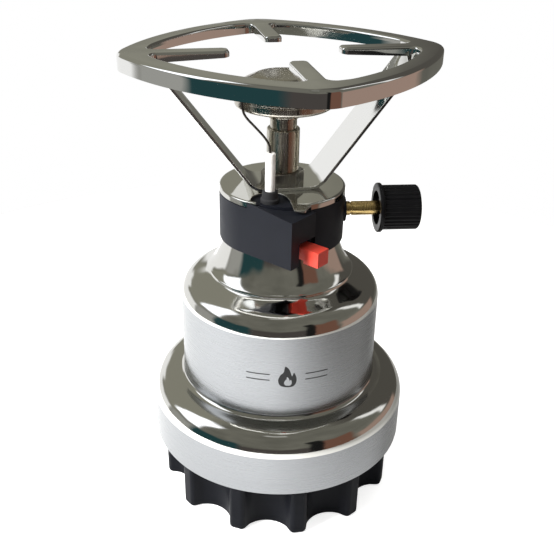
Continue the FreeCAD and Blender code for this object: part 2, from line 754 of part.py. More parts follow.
def bowed_square(mid_side, side_arc, corner, low, high):
    """A square with bowed sides and round corners, corners on the axes, as an upright prism."""
    offset = side_arc - mid_side
    pull = offset * math.sqrt(2)
    reach = (-pull + math.sqrt(pull ** 2 - 4 * (offset ** 2 - (side_arc - corner) ** 2))) / 2
    edges = []
    for quarter in range(4):
        turn = FreeCAD.Rotation(up, 90 * quarter)
        corner_centre = turn.multVec(Vector(reach, 0, 0))
        before = turn.multVec(Vector(-offset, offset, 0) * math.sqrt(0.5))
        after = turn.multVec(Vector(-offset, -offset, 0) * math.sqrt(0.5))
        start = before + (corner_centre - before).normalize() * side_arc
        end = after + (corner_centre - after).normalize() * side_arc
        tip = turn.multVec(Vector(reach + corner, 0, 0))
        middle = after + turn.multVec(Vector(1, 1, 0)).normalize() * side_arc
        next_start = FreeCAD.Rotation(up, 90).multVec(start)
        edges.append(Part.Arc(start, tip, end).toShape())
        edges.append(Part.Arc(end, middle, next_start).toShape())
    face = Part.Face(Part.Wire(edges))
    face.translate(Vector(0, 0, low))
    return face.extrude(Vector(0, 0, high - low))


def support_opening(grow, low, high):
    """The opening inside the rim with four prongs left in it; grow widens it all round."""
    side = support_side - rim_width
    opening = bowed_square(side + grow, support_side_arc - rim_width + grow, inner_corner + grow, low, high)
    half = prong_width / 2 - grow
    for quarter in range(4):
        prong = block(prong_tip + grow, support_side + 30, -half, half, low - 1, high + 1)
        opening = opening.cut(turned(prong, 90 * quarter))
    roots = [edge for edge in opening.Edges
             if edge.BoundBox.ZLength > high - low - 0.01 and edge.CenterOfMass.Length > 0
             and math.hypot(edge.CenterOfMass.x, edge.CenterOfMass.y) > prong_tip + 15
             and min(abs(edge.CenterOfMass.x), abs(edge.CenterOfMass.y)) < half + 0.2]
    return opening.makeFillet(prong_root_rounding + grow, roots)


def prong_flanges():
    flanges = []
    root = support_side - 8
    for side in (-1, 1):
        lateral = side * (prong_width / 2 - support_sheet / 2) - support_sheet / 2
        corners = [Vector(prong_tip, lateral, support_top),
                   Vector(prong_tip, lateral, support_top - prong_flange_tip),
                   Vector(root - 6, lateral, support_top - prong_flange_root),
                   Vector(root, lateral, support_top - prong_flange_root),
                   Vector(root, lateral, support_top)]
        face = Part.Face(Part.makePolygon(corners + corners[:1]))
        flanges.append(face.extrude(Vector(0, support_sheet, 0)))
    return [turned(flange, 90 * quarter) for quarter in range(4) for flange in flanges]


def pot_support():
    low = support_top - support_depth
    plate_low = support_top - support_sheet
    body = bowed_square(support_side, support_side_arc, support_corner, low, support_top)
    rim = [edge for edge in body.Edges if edge.BoundBox.ZMin > support_top - 0.01]
    body = body.makeFillet(1.0, rim)
    body = body.cut(bowed_square(support_side - support_sheet, support_side_arc - support_sheet,
                                 support_corner - support_sheet, low - 1, plate_low))
    body = body.cut(support_opening(0, plate_low - 1, support_top + 1))
    lip = support_opening(support_sheet, support_top - inner_lip, plate_low)
    lip = lip.cut(support_opening(0, support_top - inner_lip - 1, support_top))
    body = body.fuse(lip)
    for flange in prong_flanges():
        body = body.fuse(flange)
    foot_half = strip_foot_width / 2 + seam_gap
    for half_turn in (0, 180):
        room = block(support_side - 7, strip_foot_reach + seam_gap, -foot_half, foot_half, low, plate_low)
        body = body.cut(turned(room, half_turn))
    return turned(body.removeSplitter(), support_turn)


# ---------------------------------------------------------------- burner


def venturi_sleeve():
    sleeve = ring(sleeve_radius, tube_radius + running_gap, nut_top, sleeve_top)
    for angle in (40, 140):
        hole = Part.makeCylinder(air_hole_radius, sleeve_radius + 2, Vector(0, 0, air_hole_height),
                                 Vector(math.cos(math.radians(angle)), math.sin(math.radians(angle)), 0))
        sleeve = sleeve.cut(hole)
    return sleeve


def mixing_tube():
    return ring(tube_radius, tube_radius - tube_wall, sleeve_top - tube_overlap, head_bottom)


def burner_bowl():
    fit = tube_radius + running_gap
    outer = [(fit + burner_sheet, head_bottom - bowl_neck), (fit + burner_sheet, head_bottom),
             (13.0, head_bottom + 2.0), (bowl_radius, bowl_lip_bottom), (bowl_radius, bowl_lip_top)]
    inner = [(bowl_radius - burner_sheet, bowl_lip_top), (bowl_radius - burner_sheet, bowl_lip_bottom + 0.7),
             (12.6, head_bottom + 2.9), (fit, head_bottom + 0.9), (fit, head_bottom - bowl_neck)]
    return lathe_points(outer + inner)


def burner_cap():
    """The perforated crown, which clamps the flame screen onto the bowl's lip."""
    seat = bowl_lip_top + screen_thickness
    outer = [(bowl_radius, seat), (bowl_radius, seat + 1.2),
             (burner_cone_radius, burner_cone_top), (burner_crown_radius, burner_crown_top),
             (0, burner_crown_top + burner_crown_rise)]
    inner = [(0, burner_crown_top + burner_crown_rise - burner_sheet),
             (burner_crown_radius, burner_crown_top - burner_sheet),
             (burner_cone_radius - burner_sheet, burner_cone_top - 0.5),
             (bowl_radius - burner_sheet, seat + 1.0), (bowl_radius - burner_sheet, seat)]
    crown = lathe_points(outer + inner)
    ports = []
    rows = ((burner_cone_top - 1.6, 0.0), (burner_cone_top - 4.4, 0.5))
    for height, shift in rows:
        for number in range(port_count):
            angle = math.radians(360 / port_count * (number + shift))
            direction = Vector(math.cos(angle), math.sin(angle), 0)
            start = direction * (burner_cone_radius - 3) + Vector(0, 0, height)
            ports.append(Part.makeCylinder(port_radius, 8, start, direction))
    return crown.cut(Part.makeCompound(ports))


def burner_screen():
    """The flame screen, clamped between the bowl's lip and the crown."""
    return upright(bowl_radius, bowl_lip_top, bowl_lip_top + screen_thickness)


builders = [base_cap, cartridge_can, cartridge_dome, outer_shell, thread_lugs, valve_body,
            piercing_needle, cartridge_gasket, gas_jet, gland_nut, valve_spindle, spindle_seal,
            valve_needle, knob, knob_insert, igniter_housing, cap_plate, piezo_body, ignition_button,
            high_voltage_lead, electrode_grommet,
            ceramic_insulator, spark_electrode, clamp_nut, support_strip, pot_support, venturi_sleeve,
            mixing_tube, burner_bowl, burner_cap, burner_screen]

os.makedirs("parts", exist_ok=True)
for builder in builders:
    piece = builder()
    print(builder.__name__, "valid" if piece.isValid() else "NOT VALID", "solids", len(piece.Solids),
          "volume", round(piece.Volume, 1))
    piece.exportStep("parts/" + builder.__name__ + ".step")
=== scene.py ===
import math

import bmesh
import bpy
from mathutils import Matrix, Vector


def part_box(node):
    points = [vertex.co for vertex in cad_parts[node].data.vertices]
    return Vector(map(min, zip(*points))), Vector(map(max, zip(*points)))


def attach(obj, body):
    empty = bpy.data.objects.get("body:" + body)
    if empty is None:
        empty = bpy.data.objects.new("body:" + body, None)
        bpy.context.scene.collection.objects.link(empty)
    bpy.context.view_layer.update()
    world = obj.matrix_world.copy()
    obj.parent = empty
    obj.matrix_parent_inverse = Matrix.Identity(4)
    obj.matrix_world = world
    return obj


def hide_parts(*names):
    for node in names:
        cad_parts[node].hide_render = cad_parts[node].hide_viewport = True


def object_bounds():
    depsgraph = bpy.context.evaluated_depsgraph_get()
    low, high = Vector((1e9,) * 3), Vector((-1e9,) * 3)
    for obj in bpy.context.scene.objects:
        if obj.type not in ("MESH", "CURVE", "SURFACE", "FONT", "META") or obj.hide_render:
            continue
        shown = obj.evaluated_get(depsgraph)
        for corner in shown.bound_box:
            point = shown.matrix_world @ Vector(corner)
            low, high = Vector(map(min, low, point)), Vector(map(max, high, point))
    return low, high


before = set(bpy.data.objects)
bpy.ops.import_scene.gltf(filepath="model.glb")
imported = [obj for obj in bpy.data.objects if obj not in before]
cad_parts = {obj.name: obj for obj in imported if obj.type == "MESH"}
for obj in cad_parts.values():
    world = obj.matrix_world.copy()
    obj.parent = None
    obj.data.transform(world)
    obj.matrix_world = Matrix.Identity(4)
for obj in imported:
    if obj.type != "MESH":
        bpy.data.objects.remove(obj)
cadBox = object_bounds()
mm = 0.001
floorHeight = cadBox[0][2]
print("frame loaded:", len(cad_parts), "nodes")


# ------------------------------------------------------------ mesh helpers

def newPiece(name, mesh):
    piece = bpy.data.objects.new(name, mesh)
    bpy.context.scene.collection.objects.link(piece)
    return piece


def pieceFrom(name, points, faces):
    # points in millimetres, in the row's frame
    mesh = bpy.data.meshes.new(name)
    mesh.from_pydata([Vector(p) * mm for p in points], [], faces)
    mesh.update()
    return newPiece(name, mesh)


def tidyMesh(piece, smoothAngle=35):
    work = bmesh.new()
    work.from_mesh(piece.data)
    bmesh.ops.remove_doubles(work, verts=work.verts, dist=0.00001)
    bmesh.ops.dissolve_degenerate(work, edges=work.edges, dist=0.000005)
    bmesh.ops.recalc_face_normals(work, faces=work.faces)
    work.to_mesh(piece.data)
    work.free()
    piece.data.shade_smooth()
    piece.data.set_sharp_from_angle(angle=math.radians(smoothAngle))
    return piece


def applied(piece):
    # the evaluated mesh takes the place of the mesh and its modifiers
    bpy.context.view_layer.update()
    graph = bpy.context.evaluated_depsgraph_get()
    mesh = bpy.data.meshes.new_from_object(piece.evaluated_get(graph))
    piece.modifiers.clear()
    old = piece.data
    piece.data = mesh
    if old.users == 0:
        bpy.data.meshes.remove(old)
    return piece


def joined(piece, other, operation):
    # exact boolean with another piece, which is then removed
    cut = piece.modifiers.new("cut", "BOOLEAN")
    cut.operation = operation
    cut.solver = "EXACT"
    cut.object = other
    applied(piece)
    bpy.data.objects.remove(other)
    return piece


def rounded(piece, width, segments=3, angle=35):
    # bevels the edges that are sharper than angle
    edge = piece.modifiers.new("edge", "BEVEL")
    edge.width = width * mm
    edge.segments = segments
    edge.limit_method = "ANGLE"
    edge.angle_limit = math.radians(angle)
    edge.use_clamp_overlap = True
    applied(piece)
    return weigh(piece)


def weigh(piece):
    # smooth shading that keeps flat faces flat
    piece.data.shade_smooth()
    piece.data.set_sharp_from_angle(angle=math.radians(50))
    even = piece.modifiers.new("normals", "WEIGHTED_NORMAL")
    even.keep_sharp = True
    even.weight = 60
    return applied(piece)


def arcPoints(centre, radius, start, end, count):
    step = (end - start) / count
    angles = [math.radians(start + step * k) for k in range(count + 1)]
    return [(centre[0] + radius * math.cos(a), centre[1] + radius * math.sin(a)) for a in angles]


def roundCorners(corners, steps=8, closed=True):
    # corners are (x, y, radius); returns the outline with each corner turned into an arc
    count = len(corners)
    outline = []
    for k, (x, y, radius) in enumerate(corners):
        here = Vector((x, y))
        if radius <= 0 or (not closed and k in (0, count - 1)):
            outline.append((x, y))
            continue
        back = (Vector(corners[k - 1][:2]) - here)
        ahead = (Vector(corners[(k + 1) % count][:2]) - here)
        half = back.angle(ahead) / 2
        reach = min(radius / math.tan(half), 0.499 * back.length, 0.499 * ahead.length)
        radiusUsed = reach * math.tan(half)
        middle = here + (back.normalized() + ahead.normalized()).normalized() * radiusUsed / math.sin(half)
        first = here + back.normalized() * reach - middle
        last = here + ahead.normalized() * reach - middle
        turn = first.angle_signed(last)
        for s in range(steps + 1):
            spot = middle + Matrix.Rotation(-turn * s / steps, 2) @ first
            outline.append((spot.x, spot.y))
    return outline


def latheMesh(name, outline, steps=160, axis="Z", centre=(0, 0, 0), shape=None):
    # turns a closed (radius, height) outline; shape can scale the radius by angle and height
    points, faces = [], []
    size = len(outline)
    for s in range(steps):
        angle = 2 * math.pi * s / steps
        for radius, height in outline:
            r = shape(radius, height, angle) if shape else radius
            spot = (r * math.cos(angle), r * math.sin(angle), height)
            if axis == "X":
                spot = (height, spot[0], spot[1])
            points.append((spot[0] + centre[0], spot[1] + centre[1], spot[2] + centre[2]))
    for s in range(steps):
        for k in range(size):
            a, b = s * size + k, s * size + (k + 1) % size
            c, d = ((s + 1) % steps) * size + (k + 1) % size, ((s + 1) % steps) * size + k
            faces.append((a, b, c, d))
    return tidyMesh(pieceFrom(name, points, faces))


def prismPiece(name, outline, low, high, smoothAngle=35):
    # an upright prism; low and high are numbers or functions of (x, y)
    bottom = low if callable(low) else lambda x, y: low
    top = high if callable(high) else lambda x, y: high
    count = len(outline)
    points = [(x, y, bottom(x, y)) for x, y in outline] + [(x, y, top(x, y)) for x, y in outline]
    faces = [tuple(reversed(range(count))), tuple(range(count, 2 * count))]
    faces += [(k, (k + 1) % count, count + (k + 1) % count, count + k) for k in range(count)]
    return tidyMesh(pieceFrom(name, points, faces), smoothAngle)


def addBand(points, faces, ring, following):
    # a band of quads between two rings of equal length
    start, count = len(points), len(ring)
    points.extend(ring + following)
    faces.extend((start + k, start + (k + 1) % count, start + count + (k + 1) % count, start + count + k)
                 for k in range(count))


def addFill(points, faces, outer, hole):
    # a flat sheet between an outer ring and the ring of a hole in it
    work = bmesh.new()
    rims = []
    for ring in (outer, hole):
        verts = [work.verts.new(p) for p in ring]
        rims += [work.edges.new((verts[k], verts[(k + 1) % len(verts)])) for k in range(len(verts))]
    bmesh.ops.triangle_fill(work, use_beauty=True, use_dissolve=False, edges=rims)
    work.verts.index_update()
    start = len(points)
    points.extend(tuple(v.co) for v in work.verts)
    faces.extend(tuple(start + v.index for v in f.verts) for f in work.faces)
    work.free()


def turnOutline(outline, degrees):
    c, s = math.cos(math.radians(degrees)), math.sin(math.radians(degrees))
    return [(x * c - y * s, x * s + y * c) for x, y in outline]


def boxPiece(name, low, high):
    outline = [(low[0], low[1]), (high[0], low[1]), (high[0], high[1]), (low[0], high[1])]
    return prismPiece(name, outline, low[2], high[2])


def turnPiece(piece, degrees):
    piece.data.transform(Matrix.Rotation(math.radians(degrees), 4, "Z"))
    return piece


def drumPiece(name, radius, low, high, x=0.0, y=0.0, steps=96):
    return prismPiece(name, arcPoints((x, y), radius, 0, 360 - 360 / steps, steps - 1), low, high)


def rodAlongX(name, radius, start, end, y, z, steps=64):
    outline = [(0.0, start), (radius, start), (radius, end), (0.0, end)]
    return latheMesh(name, outline, steps, "X", (0, y, z))


def dress(piece, material, body, replaced=()):
    # material, body and the CAD node it stands for
    if isinstance(material, bpy.types.Material):
        piece.data.materials.clear()
        piece.data.materials.append(material)
    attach(piece, body)
    if replaced:
        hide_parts(*([replaced] if isinstance(replaced, str) else replaced))
    return piece


# ------------------------------------------------------------ material helpers

class Shader:
    # a small wrapper round one material's node tree
    def __init__(self, name, colour, metallic, roughness, specular=None, coat=0.0, coatRoughness=0.1):
        self.material = bpy.data.materials.new(name)
        self.material.use_nodes = True
        self.tree = self.material.node_tree
        self.surface = self.tree.nodes["Principled BSDF"]
        self.surface.inputs["Base Color"].default_value = (*colour, 1)
        self.surface.inputs["Metallic"].default_value = metallic
        self.surface.inputs["Roughness"].default_value = roughness
        self.surface.inputs["Coat Weight"].default_value = coat
        self.surface.inputs["Coat Roughness"].default_value = coatRoughness
        if specular is not None:
            self.surface.inputs["Specular IOR Level"].default_value = specular

    def add(self, kind, **settings):
        node = self.tree.nodes.new(kind)
        for key, value in settings.items():
            if key in node.inputs:
                node.inputs[key].default_value = value
            else:
                setattr(node, key, value)
        return node

    def link(self, source, target):
        self.tree.links.new(source, target)
        return self

    def place(self, scale=(1, 1, 1), turn=(0, 0, 0)):
        # object coordinates, stretched and turned
        coordinate = self.add("ShaderNodeTexCoord")
        mapping = self.add("ShaderNodeMapping")
        mapping.inputs["Scale"].default_value = scale
        mapping.inputs["Rotation"].default_value = [math.radians(t) for t in turn]
        self.link(coordinate.outputs["Object"], mapping.inputs["Vector"])
        return mapping.outputs["Vector"]

    def noise(self, place, scale, detail=3.0, roughness=0.6):
        texture = self.add("ShaderNodeTexNoise")
        texture.inputs["Scale"].default_value = scale
        texture.inputs["Detail"].default_value = detail
        texture.inputs["Roughness"].default_value = roughness
        self.link(place, texture.inputs["Vector"])
        return texture.outputs["Fac"]

    def remap(self, value, low, high, fromLow=0.3, fromHigh=0.7):
        node = self.add("ShaderNodeMapRange")
        node.inputs["From Min"].default_value = fromLow
        node.inputs["From Max"].default_value = fromHigh
        node.inputs["To Min"].default_value = low
        node.inputs["To Max"].default_value = high
        self.link(value, node.inputs["Value"])
        return node.outputs["Result"]

    def mixColour(self, factor, first, second):
        node = self.add("ShaderNodeMix", data_type="RGBA")
        for socket, value in ((node.inputs[6], first), (node.inputs[7], second)):
            if isinstance(value, tuple):
                socket.default_value = (*value, 1)
            else:
                self.link(value, socket)
        self.link(factor, node.inputs[0])
        return node.outputs[2]

    def bump(self, height, strength, distance=0.0001, below=None):
        node = self.add("ShaderNodeBump")
        node.inputs["Strength"].default_value = strength
        node.inputs["Distance"].default_value = distance
        self.link(height, node.inputs["Height"])
        if below:
            self.link(below, node.inputs["Normal"])
        self.link(node.outputs["Normal"], self.surface.inputs["Normal"])
        return node.outputs["Normal"]


def polishedSteel(name, colour, roughness, wear=0.04, waves=0.5):
    # mirror polish with faint wipe marks, fine scratches and the gentle waves of pressed sheet
    s = Shader(name, colour, 1.0, roughness)
    smear = s.noise(s.place((1, 1, 2.2)), 38, 4)
    s.link(s.remap(smear, roughness, roughness + wear), s.surface.inputs["Roughness"])
    wave = s.noise(s.place((1, 1, 1.6), (0, 0, 40)), 55, 1, 0.4)
    rolled = s.bump(wave, waves, 0.0006)
    scratch = s.noise(s.place((900, 900, 60), (12, 8, 30)), 1, 2)
    s.bump(scratch, 0.02, 0.00002, rolled)
    return s.material


def satinSteel(name, colour):
    # brushed round the wall: streaks long around the axis and very thin upwards
    s = Shader(name, colour, 1.0, 0.27)
    streak = s.noise(s.place((25, 25, 5200)), 1, 3, 0.7)
    cloud = s.noise(s.place((1, 1, 0.35)), 60, 3)
    tone = s.mixColour(s.remap(streak, 0, 1), tuple(c * 0.86 for c in colour), colour)
    s.link(s.mixColour(s.remap(cloud, 0, 0.35), tone, tuple(c * 0.94 for c in colour)),
           s.surface.inputs["Base Color"])
    s.link(s.remap(streak, 0.2, 0.34), s.surface.inputs["Roughness"])
    s.bump(streak, 0.16, 0.00003)
    return s.material


def drawnSteel(name, colour, roughness=0.24):
    # drawn tube: fine lines along its length and a little heat tint
    s = Shader(name, colour, 1.0, roughness)
    line = s.noise(s.place((2600, 2600, 30)), 1, 2)
    tint = s.noise(s.place(), 95, 3)
    warm = (colour[0] * 0.9, colour[1] * 0.82, colour[2] * 0.7)
    s.link(s.mixColour(s.remap(tint, 0, 0.7), colour, warm), s.surface.inputs["Base Color"])
    s.link(s.remap(line, roughness - 0.08, roughness + 0.12), s.surface.inputs["Roughness"])
    s.bump(line, 0.2, 0.00003)
    return s.material


def turnedMetal(name, colour, roughness=0.22):
    # lathe lines across the X axis
    s = Shader(name, colour, 1.0, roughness)
    line = s.noise(s.place((5200, 20, 20)), 1, 2)
    stain = s.noise(s.place(), 240, 4)
    dull = tuple(c * 0.62 for c in colour)
    s.link(s.mixColour(s.remap(stain, 0, 0.8), colour, dull), s.surface.inputs["Base Color"])
    s.link(s.remap(line, roughness - 0.08, roughness + 0.14), s.surface.inputs["Roughness"])
    s.bump(line, 0.25, 0.00003)
    return s.material


def mouldedPlastic(name, colour, roughness, grain, gloss=0.3):
    # fine spark-eroded grain, slightly shinier where it has been handled
    s = Shader(name, colour, 0.0, roughness, gloss)
    pebble = s.noise(s.place(), 2600, 3)
    handled = s.noise(s.place(), 55, 3)
    light = tuple(min(1, c * 1.25 + 0.002) for c in colour)
    s.link(s.mixColour(s.remap(handled, 0, 1), colour, light), s.surface.inputs["Base Color"])
    s.link(s.remap(handled, roughness - 0.07, roughness + 0.07), s.surface.inputs["Roughness"])
    s.bump(pebble, grain, 0.00008)
    return s.material


def glazedCeramic(name, colour):
    s = Shader(name, colour, 0.0, 0.16, 0.5, 0.3, 0.05)
    speck = s.noise(s.place(), 900, 3)
    s.link(s.mixColour(s.remap(speck, 0, 0.5, 0.5, 0.8), colour, tuple(c * 0.82 for c in colour)),
           s.surface.inputs["Base Color"])
    s.link(s.remap(speck, 0.1, 0.28), s.surface.inputs["Roughness"])
    return s.material


def scaledWire(name):
    # oxidised wire
    s = Shader(name, (0.055, 0.05, 0.046), 0.9, 0.42)
    scale = s.noise(s.place(), 1500, 3)
    s.link(s.mixColour(s.remap(scale, 0, 1), (0.03, 0.028, 0.026), (0.12, 0.105, 0.09)),
           s.surface.inputs["Base Color"])
    s.bump(scale, 0.3, 0.00005)
    return s.material


def paintedSheet(name, colour):
    s = Shader(name, colour, 0.0, 0.35, 0.5, 0.4, 0.15)
    peel = s.noise(s.place(), 700, 2)
    s.link(s.mixColour(s.remap(peel, 0, 0.3), colour, tuple(c * 0.8 for c in colour)),
           s.surface.inputs["Base Color"])
    s.bump(peel, 0.08, 0.00005)
    return s.material


def printedInk(name):
    s = Shader(name, (0.012, 0.012, 0.013), 0.0, 0.42, 0.4)
    patch = s.noise(s.place(), 1800, 2)
    s.link(s.remap(patch, 0.36, 0.5), s.surface.inputs["Roughness"])
    return s.material


chrome = polishedSteel("bright_chrome", (0.80, 0.80, 0.78), 0.035, 0.05)
polished = polishedSteel("polished_stainless", (0.74, 0.735, 0.70), 0.05, 0.06)
satin = satinSteel("satin_stainless", (0.35, 0.36, 0.372))
tubeSteel = drawnSteel("drawn_burner_steel", (0.56, 0.55, 0.50))
headSteel = drawnSteel("burner_head_steel", (0.62, 0.60, 0.55), 0.2)
zincSteel = drawnSteel("zinc_plated_steel", (0.42, 0.42, 0.42), 0.3)
brass = turnedMetal("turned_brass", (0.80, 0.58, 0.24))
blackPlastic = mouldedPlastic("housing_plastic", (0.007, 0.0078, 0.011), 0.5, 0.2, 0.17)
basePlastic = mouldedPlastic("base_plastic", (0.0035, 0.004, 0.006), 0.42, 0.14, 0.08)
knobPlastic = mouldedPlastic("knob_plastic", (0.0035, 0.0035, 0.004), 0.34, 0.1, 0.16)
redPlastic = mouldedPlastic("red_button_plastic", (0.53, 0.05, 0.032), 0.36, 0.08)
greyPlastic = mouldedPlastic("piezo_plastic", (0.05, 0.05, 0.055), 0.45, 0.15)
rubber = mouldedPlastic("seal_rubber", (0.018, 0.018, 0.019), 0.5, 0.2)
silicone = mouldedPlastic("lead_silicone", (0.45, 0.07, 0.04), 0.45, 0.1)
ceramic = glazedCeramic("white_ceramic", (0.88, 0.865, 0.83))
wire = scaledWire("oxidised_wire")
canPaint = paintedSheet("can_paint", (0.05, 0.13, 0.34))
tinplate = drawnSteel("bare_tinplate", (0.66, 0.66, 0.64), 0.25)
ink = printedInk("printed_ink")
print("materials made")


# ------------------------------------------------------------ shell

shell = {
    "sheet": 0.8, "ringRadius": 62.7, "ringWall": 20.4, "ringShoulder": 11.0, "cove": 2.6,
    "cylinderRadius": 47.5, "satinTop": 104.0, "shoulderRadius": 10.0,
    "foot": (34.4, 117.3), "footBead": 1.4, "neckFlare": (31.9, 120.6), "neckTop": 26.6, "neckBow": 0.5,
    "hole": 10.9,
}


def shellOutline(inset):
    # outer face from the ring's lower edge up to the neck; inset moves it inwards
    low, top = (z / mm for z in (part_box("outer_shell")[0].z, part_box("outer_shell")[1].z))
    wallTop = low + shell["ringWall"]
    shoulder = shell["ringShoulder"]
    ledgeZ = wallTop + shoulder
    outline = [(shell["ringRadius"] - inset, low)]
    outline += arcPoints((shell["ringRadius"] - shoulder, wallTop), shoulder - inset, 0, 90, 20)
    cove = shell["cove"]
    outline += arcPoints((shell["cylinderRadius"] + cove, ledgeZ + cove), cove + inset, 270, 180, 10)
    radius = shell["shoulderRadius"]
    centre = (shell["cylinderRadius"] - radius, shell["satinTop"])
    outline += arcPoints(centre, radius - inset, 0, 76, 18)
    bead = shell["footBead"]
    foot = shell["foot"]
    outline += [(foot[0] + 1.6, foot[1] - 1.9 - inset), (foot[0] + 0.5, foot[1] - 1.3 - inset)]
    outline += arcPoints((foot[0] - bead, foot[1] - 0.3), bead - inset * 0.6, -20, 62, 8)
    flare, neckTop = shell["neckFlare"], shell["neckTop"]
    for k in range(1, 13):
        t = k / 12
        bow = math.sin(math.pi * t) * shell["neckBow"]
        outline.append((flare[0] + (neckTop - flare[0]) * t - bow - inset, flare[1] + (top - flare[1]) * t))
    return outline, top


def outerShell():
    outer, top = shellOutline(0)
    inner = shellOutline(shell["sheet"])[0]
    inner[-1] = (inner[-1][0], top - shell["sheet"])
    outline = outer + [(shell["hole"], top), (shell["hole"], top - shell["sheet"])] + list(reversed(inner))
    piece = latheMesh("outerShell", outline, 288)
    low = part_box("outer_shell")[0].z / mm
    bands = ((low - 1, low + shell["ringWall"] + 0.2),
             (low + shell["ringWall"] + shell["ringShoulder"] + 1.4, shell["satinTop"] + 0.1))
    piece.data.materials.append(polished)
    piece.data.materials.append(satin)
    for face in piece.data.polygons:
        height, out = face.center.z / mm, face.normal.x * face.center.x + face.normal.y * face.center.y
        if any(a < height < b for a, b in bands) and out > 0:
            face.material_index = 1
    return dress(piece, None, "stove", "outer_shell")


outerShell()


def flameOutline():
    # a plain flame with a tall tongue and a smaller one beside it
    curve = [(0.0, -5.4), (-3.3, -4.6), (-4.5, -1.8), (-3.6, 1.2), (-2.0, 3.0), (-1.2, 6.2), (0.6, 4.6),
             (1.5, 2.2), (2.1, 0.8), (3.0, 2.6), (4.2, -0.4), (4.0, -3.2), (2.6, -5.0)]
    points = []
    count = len(curve)
    for k in range(count):
        p = [Vector(curve[(k + d) % count]) for d in (-1, 0, 1, 2)]
        for s in range(6):
            t = s / 6
            square, cube = 2 * p[0] - 5 * p[1] + 4 * p[2] - p[3], 3 * p[1] - p[0] - 3 * p[2] + p[3]
            points.append(tuple(0.5 * ((2 * p[1]) + (p[2] - p[0]) * t + square * t * t + cube * t ** 3)))
    return points


mark = {"height": 84.0, "turn": -91.0, "scale": 0.95, "lift": 0.03, "rule": 0.55, "ruleLevel": 1.6,
        "ruleStart": 8.5, "ruleStep": 0.95}


def wrapOnWall(points, height, turn, scale):
    # flat points onto the cylinder's wall
    radius = shell["cylinderRadius"] + mark["lift"]
    spots = []
    for x, y in points:
        angle = math.radians(turn) + x * scale / radius
        spots.append((radius * math.cos(angle), radius * math.sin(angle), height + y * scale))
    return spots


def printedMark():
    # one small flame sign between two pairs of short rules, printed on the satin wall
    outline = flameOutline()
    core = [(x * 0.42 + 0.2, y * 0.42 - 2.3) for x, y in outline]
    work = bmesh.new()
    outer = [work.verts.new((x, y, 0)) for x, y in outline]
    inner = [work.verts.new((x, y, 0)) for x, y in core]
    edges = [work.edges.new((ring[k], ring[(k + 1) % len(ring)]))
             for ring in (outer, inner) for k in range(len(ring))]
    bmesh.ops.triangle_fill(work, use_beauty=True, use_dissolve=False, edges=edges)
    mesh = bpy.data.meshes.new("printedMark")
    work.to_mesh(mesh)
    work.free()
    points = [(v.co.x, v.co.y) for v in mesh.vertices]
    faces = [tuple(f.vertices) for f in mesh.polygons]
    for side in (-1, 1):
        for level in (-mark["ruleLevel"], mark["ruleLevel"]):
            start = len(points)
            for k in range(13):
                x = side * (mark["ruleStart"] + k * mark["ruleStep"])
                points += [(x, level - mark["rule"] / 2), (x, level + mark["rule"] / 2)]
            faces += [(n, n + 2, n + 3, n + 1) for n in range(start, start + 24, 2)]
    spots = wrapOnWall(points, mark["height"], mark["turn"], mark["scale"])
    bpy.data.meshes.remove(mesh)
    piece = pieceFrom("printedMark", spots, faces)
    work = bmesh.new()
    work.from_mesh(piece.data)
    for face in work.faces:
        centre = face.calc_center_median()
        if face.normal.x * centre.x + face.normal.y * centre.y < 0:
            face.normal_flip()
    work.to_mesh(piece.data)
    work.free()
    skin = piece.modifiers.new("ink", "SOLIDIFY")
    skin.thickness = 0.02 * mm
    skin.offset = -1
    applied(piece)
    return dress(piece, ink, "stove", ())


printedMark()
print("shell made")


# ------------------------------------------------------------ screw base

base = {
    "lobes": 12, "scallop": 12.6, "scallopTrim": 0.17, "scallopCentre": 62.0, "tip": 58.4, "tipRounding": 2.6,
    "turn": 5.1, "edge": 1.8, "floor": 4.0, "seam": 0.3, "pocket": 45.7, "wall": 58.8, "wallThickness": 3.0,
    "wallTop": 53.5,
    "threadPitch": 4.0, "threadTurns": 3.5, "threadDepth": 2.2, "threadThickness": 1.5, "threadStart": 6.0,
}


def lobeOutline():
    # one lobe tip and one scallop, repeated round the base
    scallopHalf = math.acos((base["scallopCentre"] ** 2 + base["tip"] ** 2 - base["scallop"] ** 2)
                            / (2 * base["scallopCentre"] * base["tip"]))
    half = math.pi / base["lobes"]
    tipHalf = half - scallopHalf

    def around(radius, angle):
        return radius * math.cos(angle), radius * math.sin(angle)

    outline = []
    for lobe in range(base["lobes"]):
        middle = 2 * half * lobe + math.radians(base["turn"] - 90)
        corner = [around(base["tip"], middle + side * tipHalf) for side in (-1, 1)]
        centre = around(base["scallopCentre"], middle + half)
        start = math.atan2(corner[1][1] - centre[1], corner[1][0] - centre[0])
        following = around(base["tip"], middle + 2 * half - tipHalf)
        end = math.atan2(following[1] - centre[1], following[0] - centre[0])
        while end > start:
            end -= 2 * math.pi
        outline += [(*corner[0], base["tipRounding"]), (*corner[1], base["tipRounding"])]
        trim = base["scallopTrim"]
        for k in range(13):
            angle = start + (end - start) * (trim + (1 - 2 * trim) * k / 12)
            outline.append((centre[0] + base["scallop"] * math.cos(angle),
                            centre[1] + base["scallop"] * math.sin(angle), 0))
    return roundCorners(outline, 6)


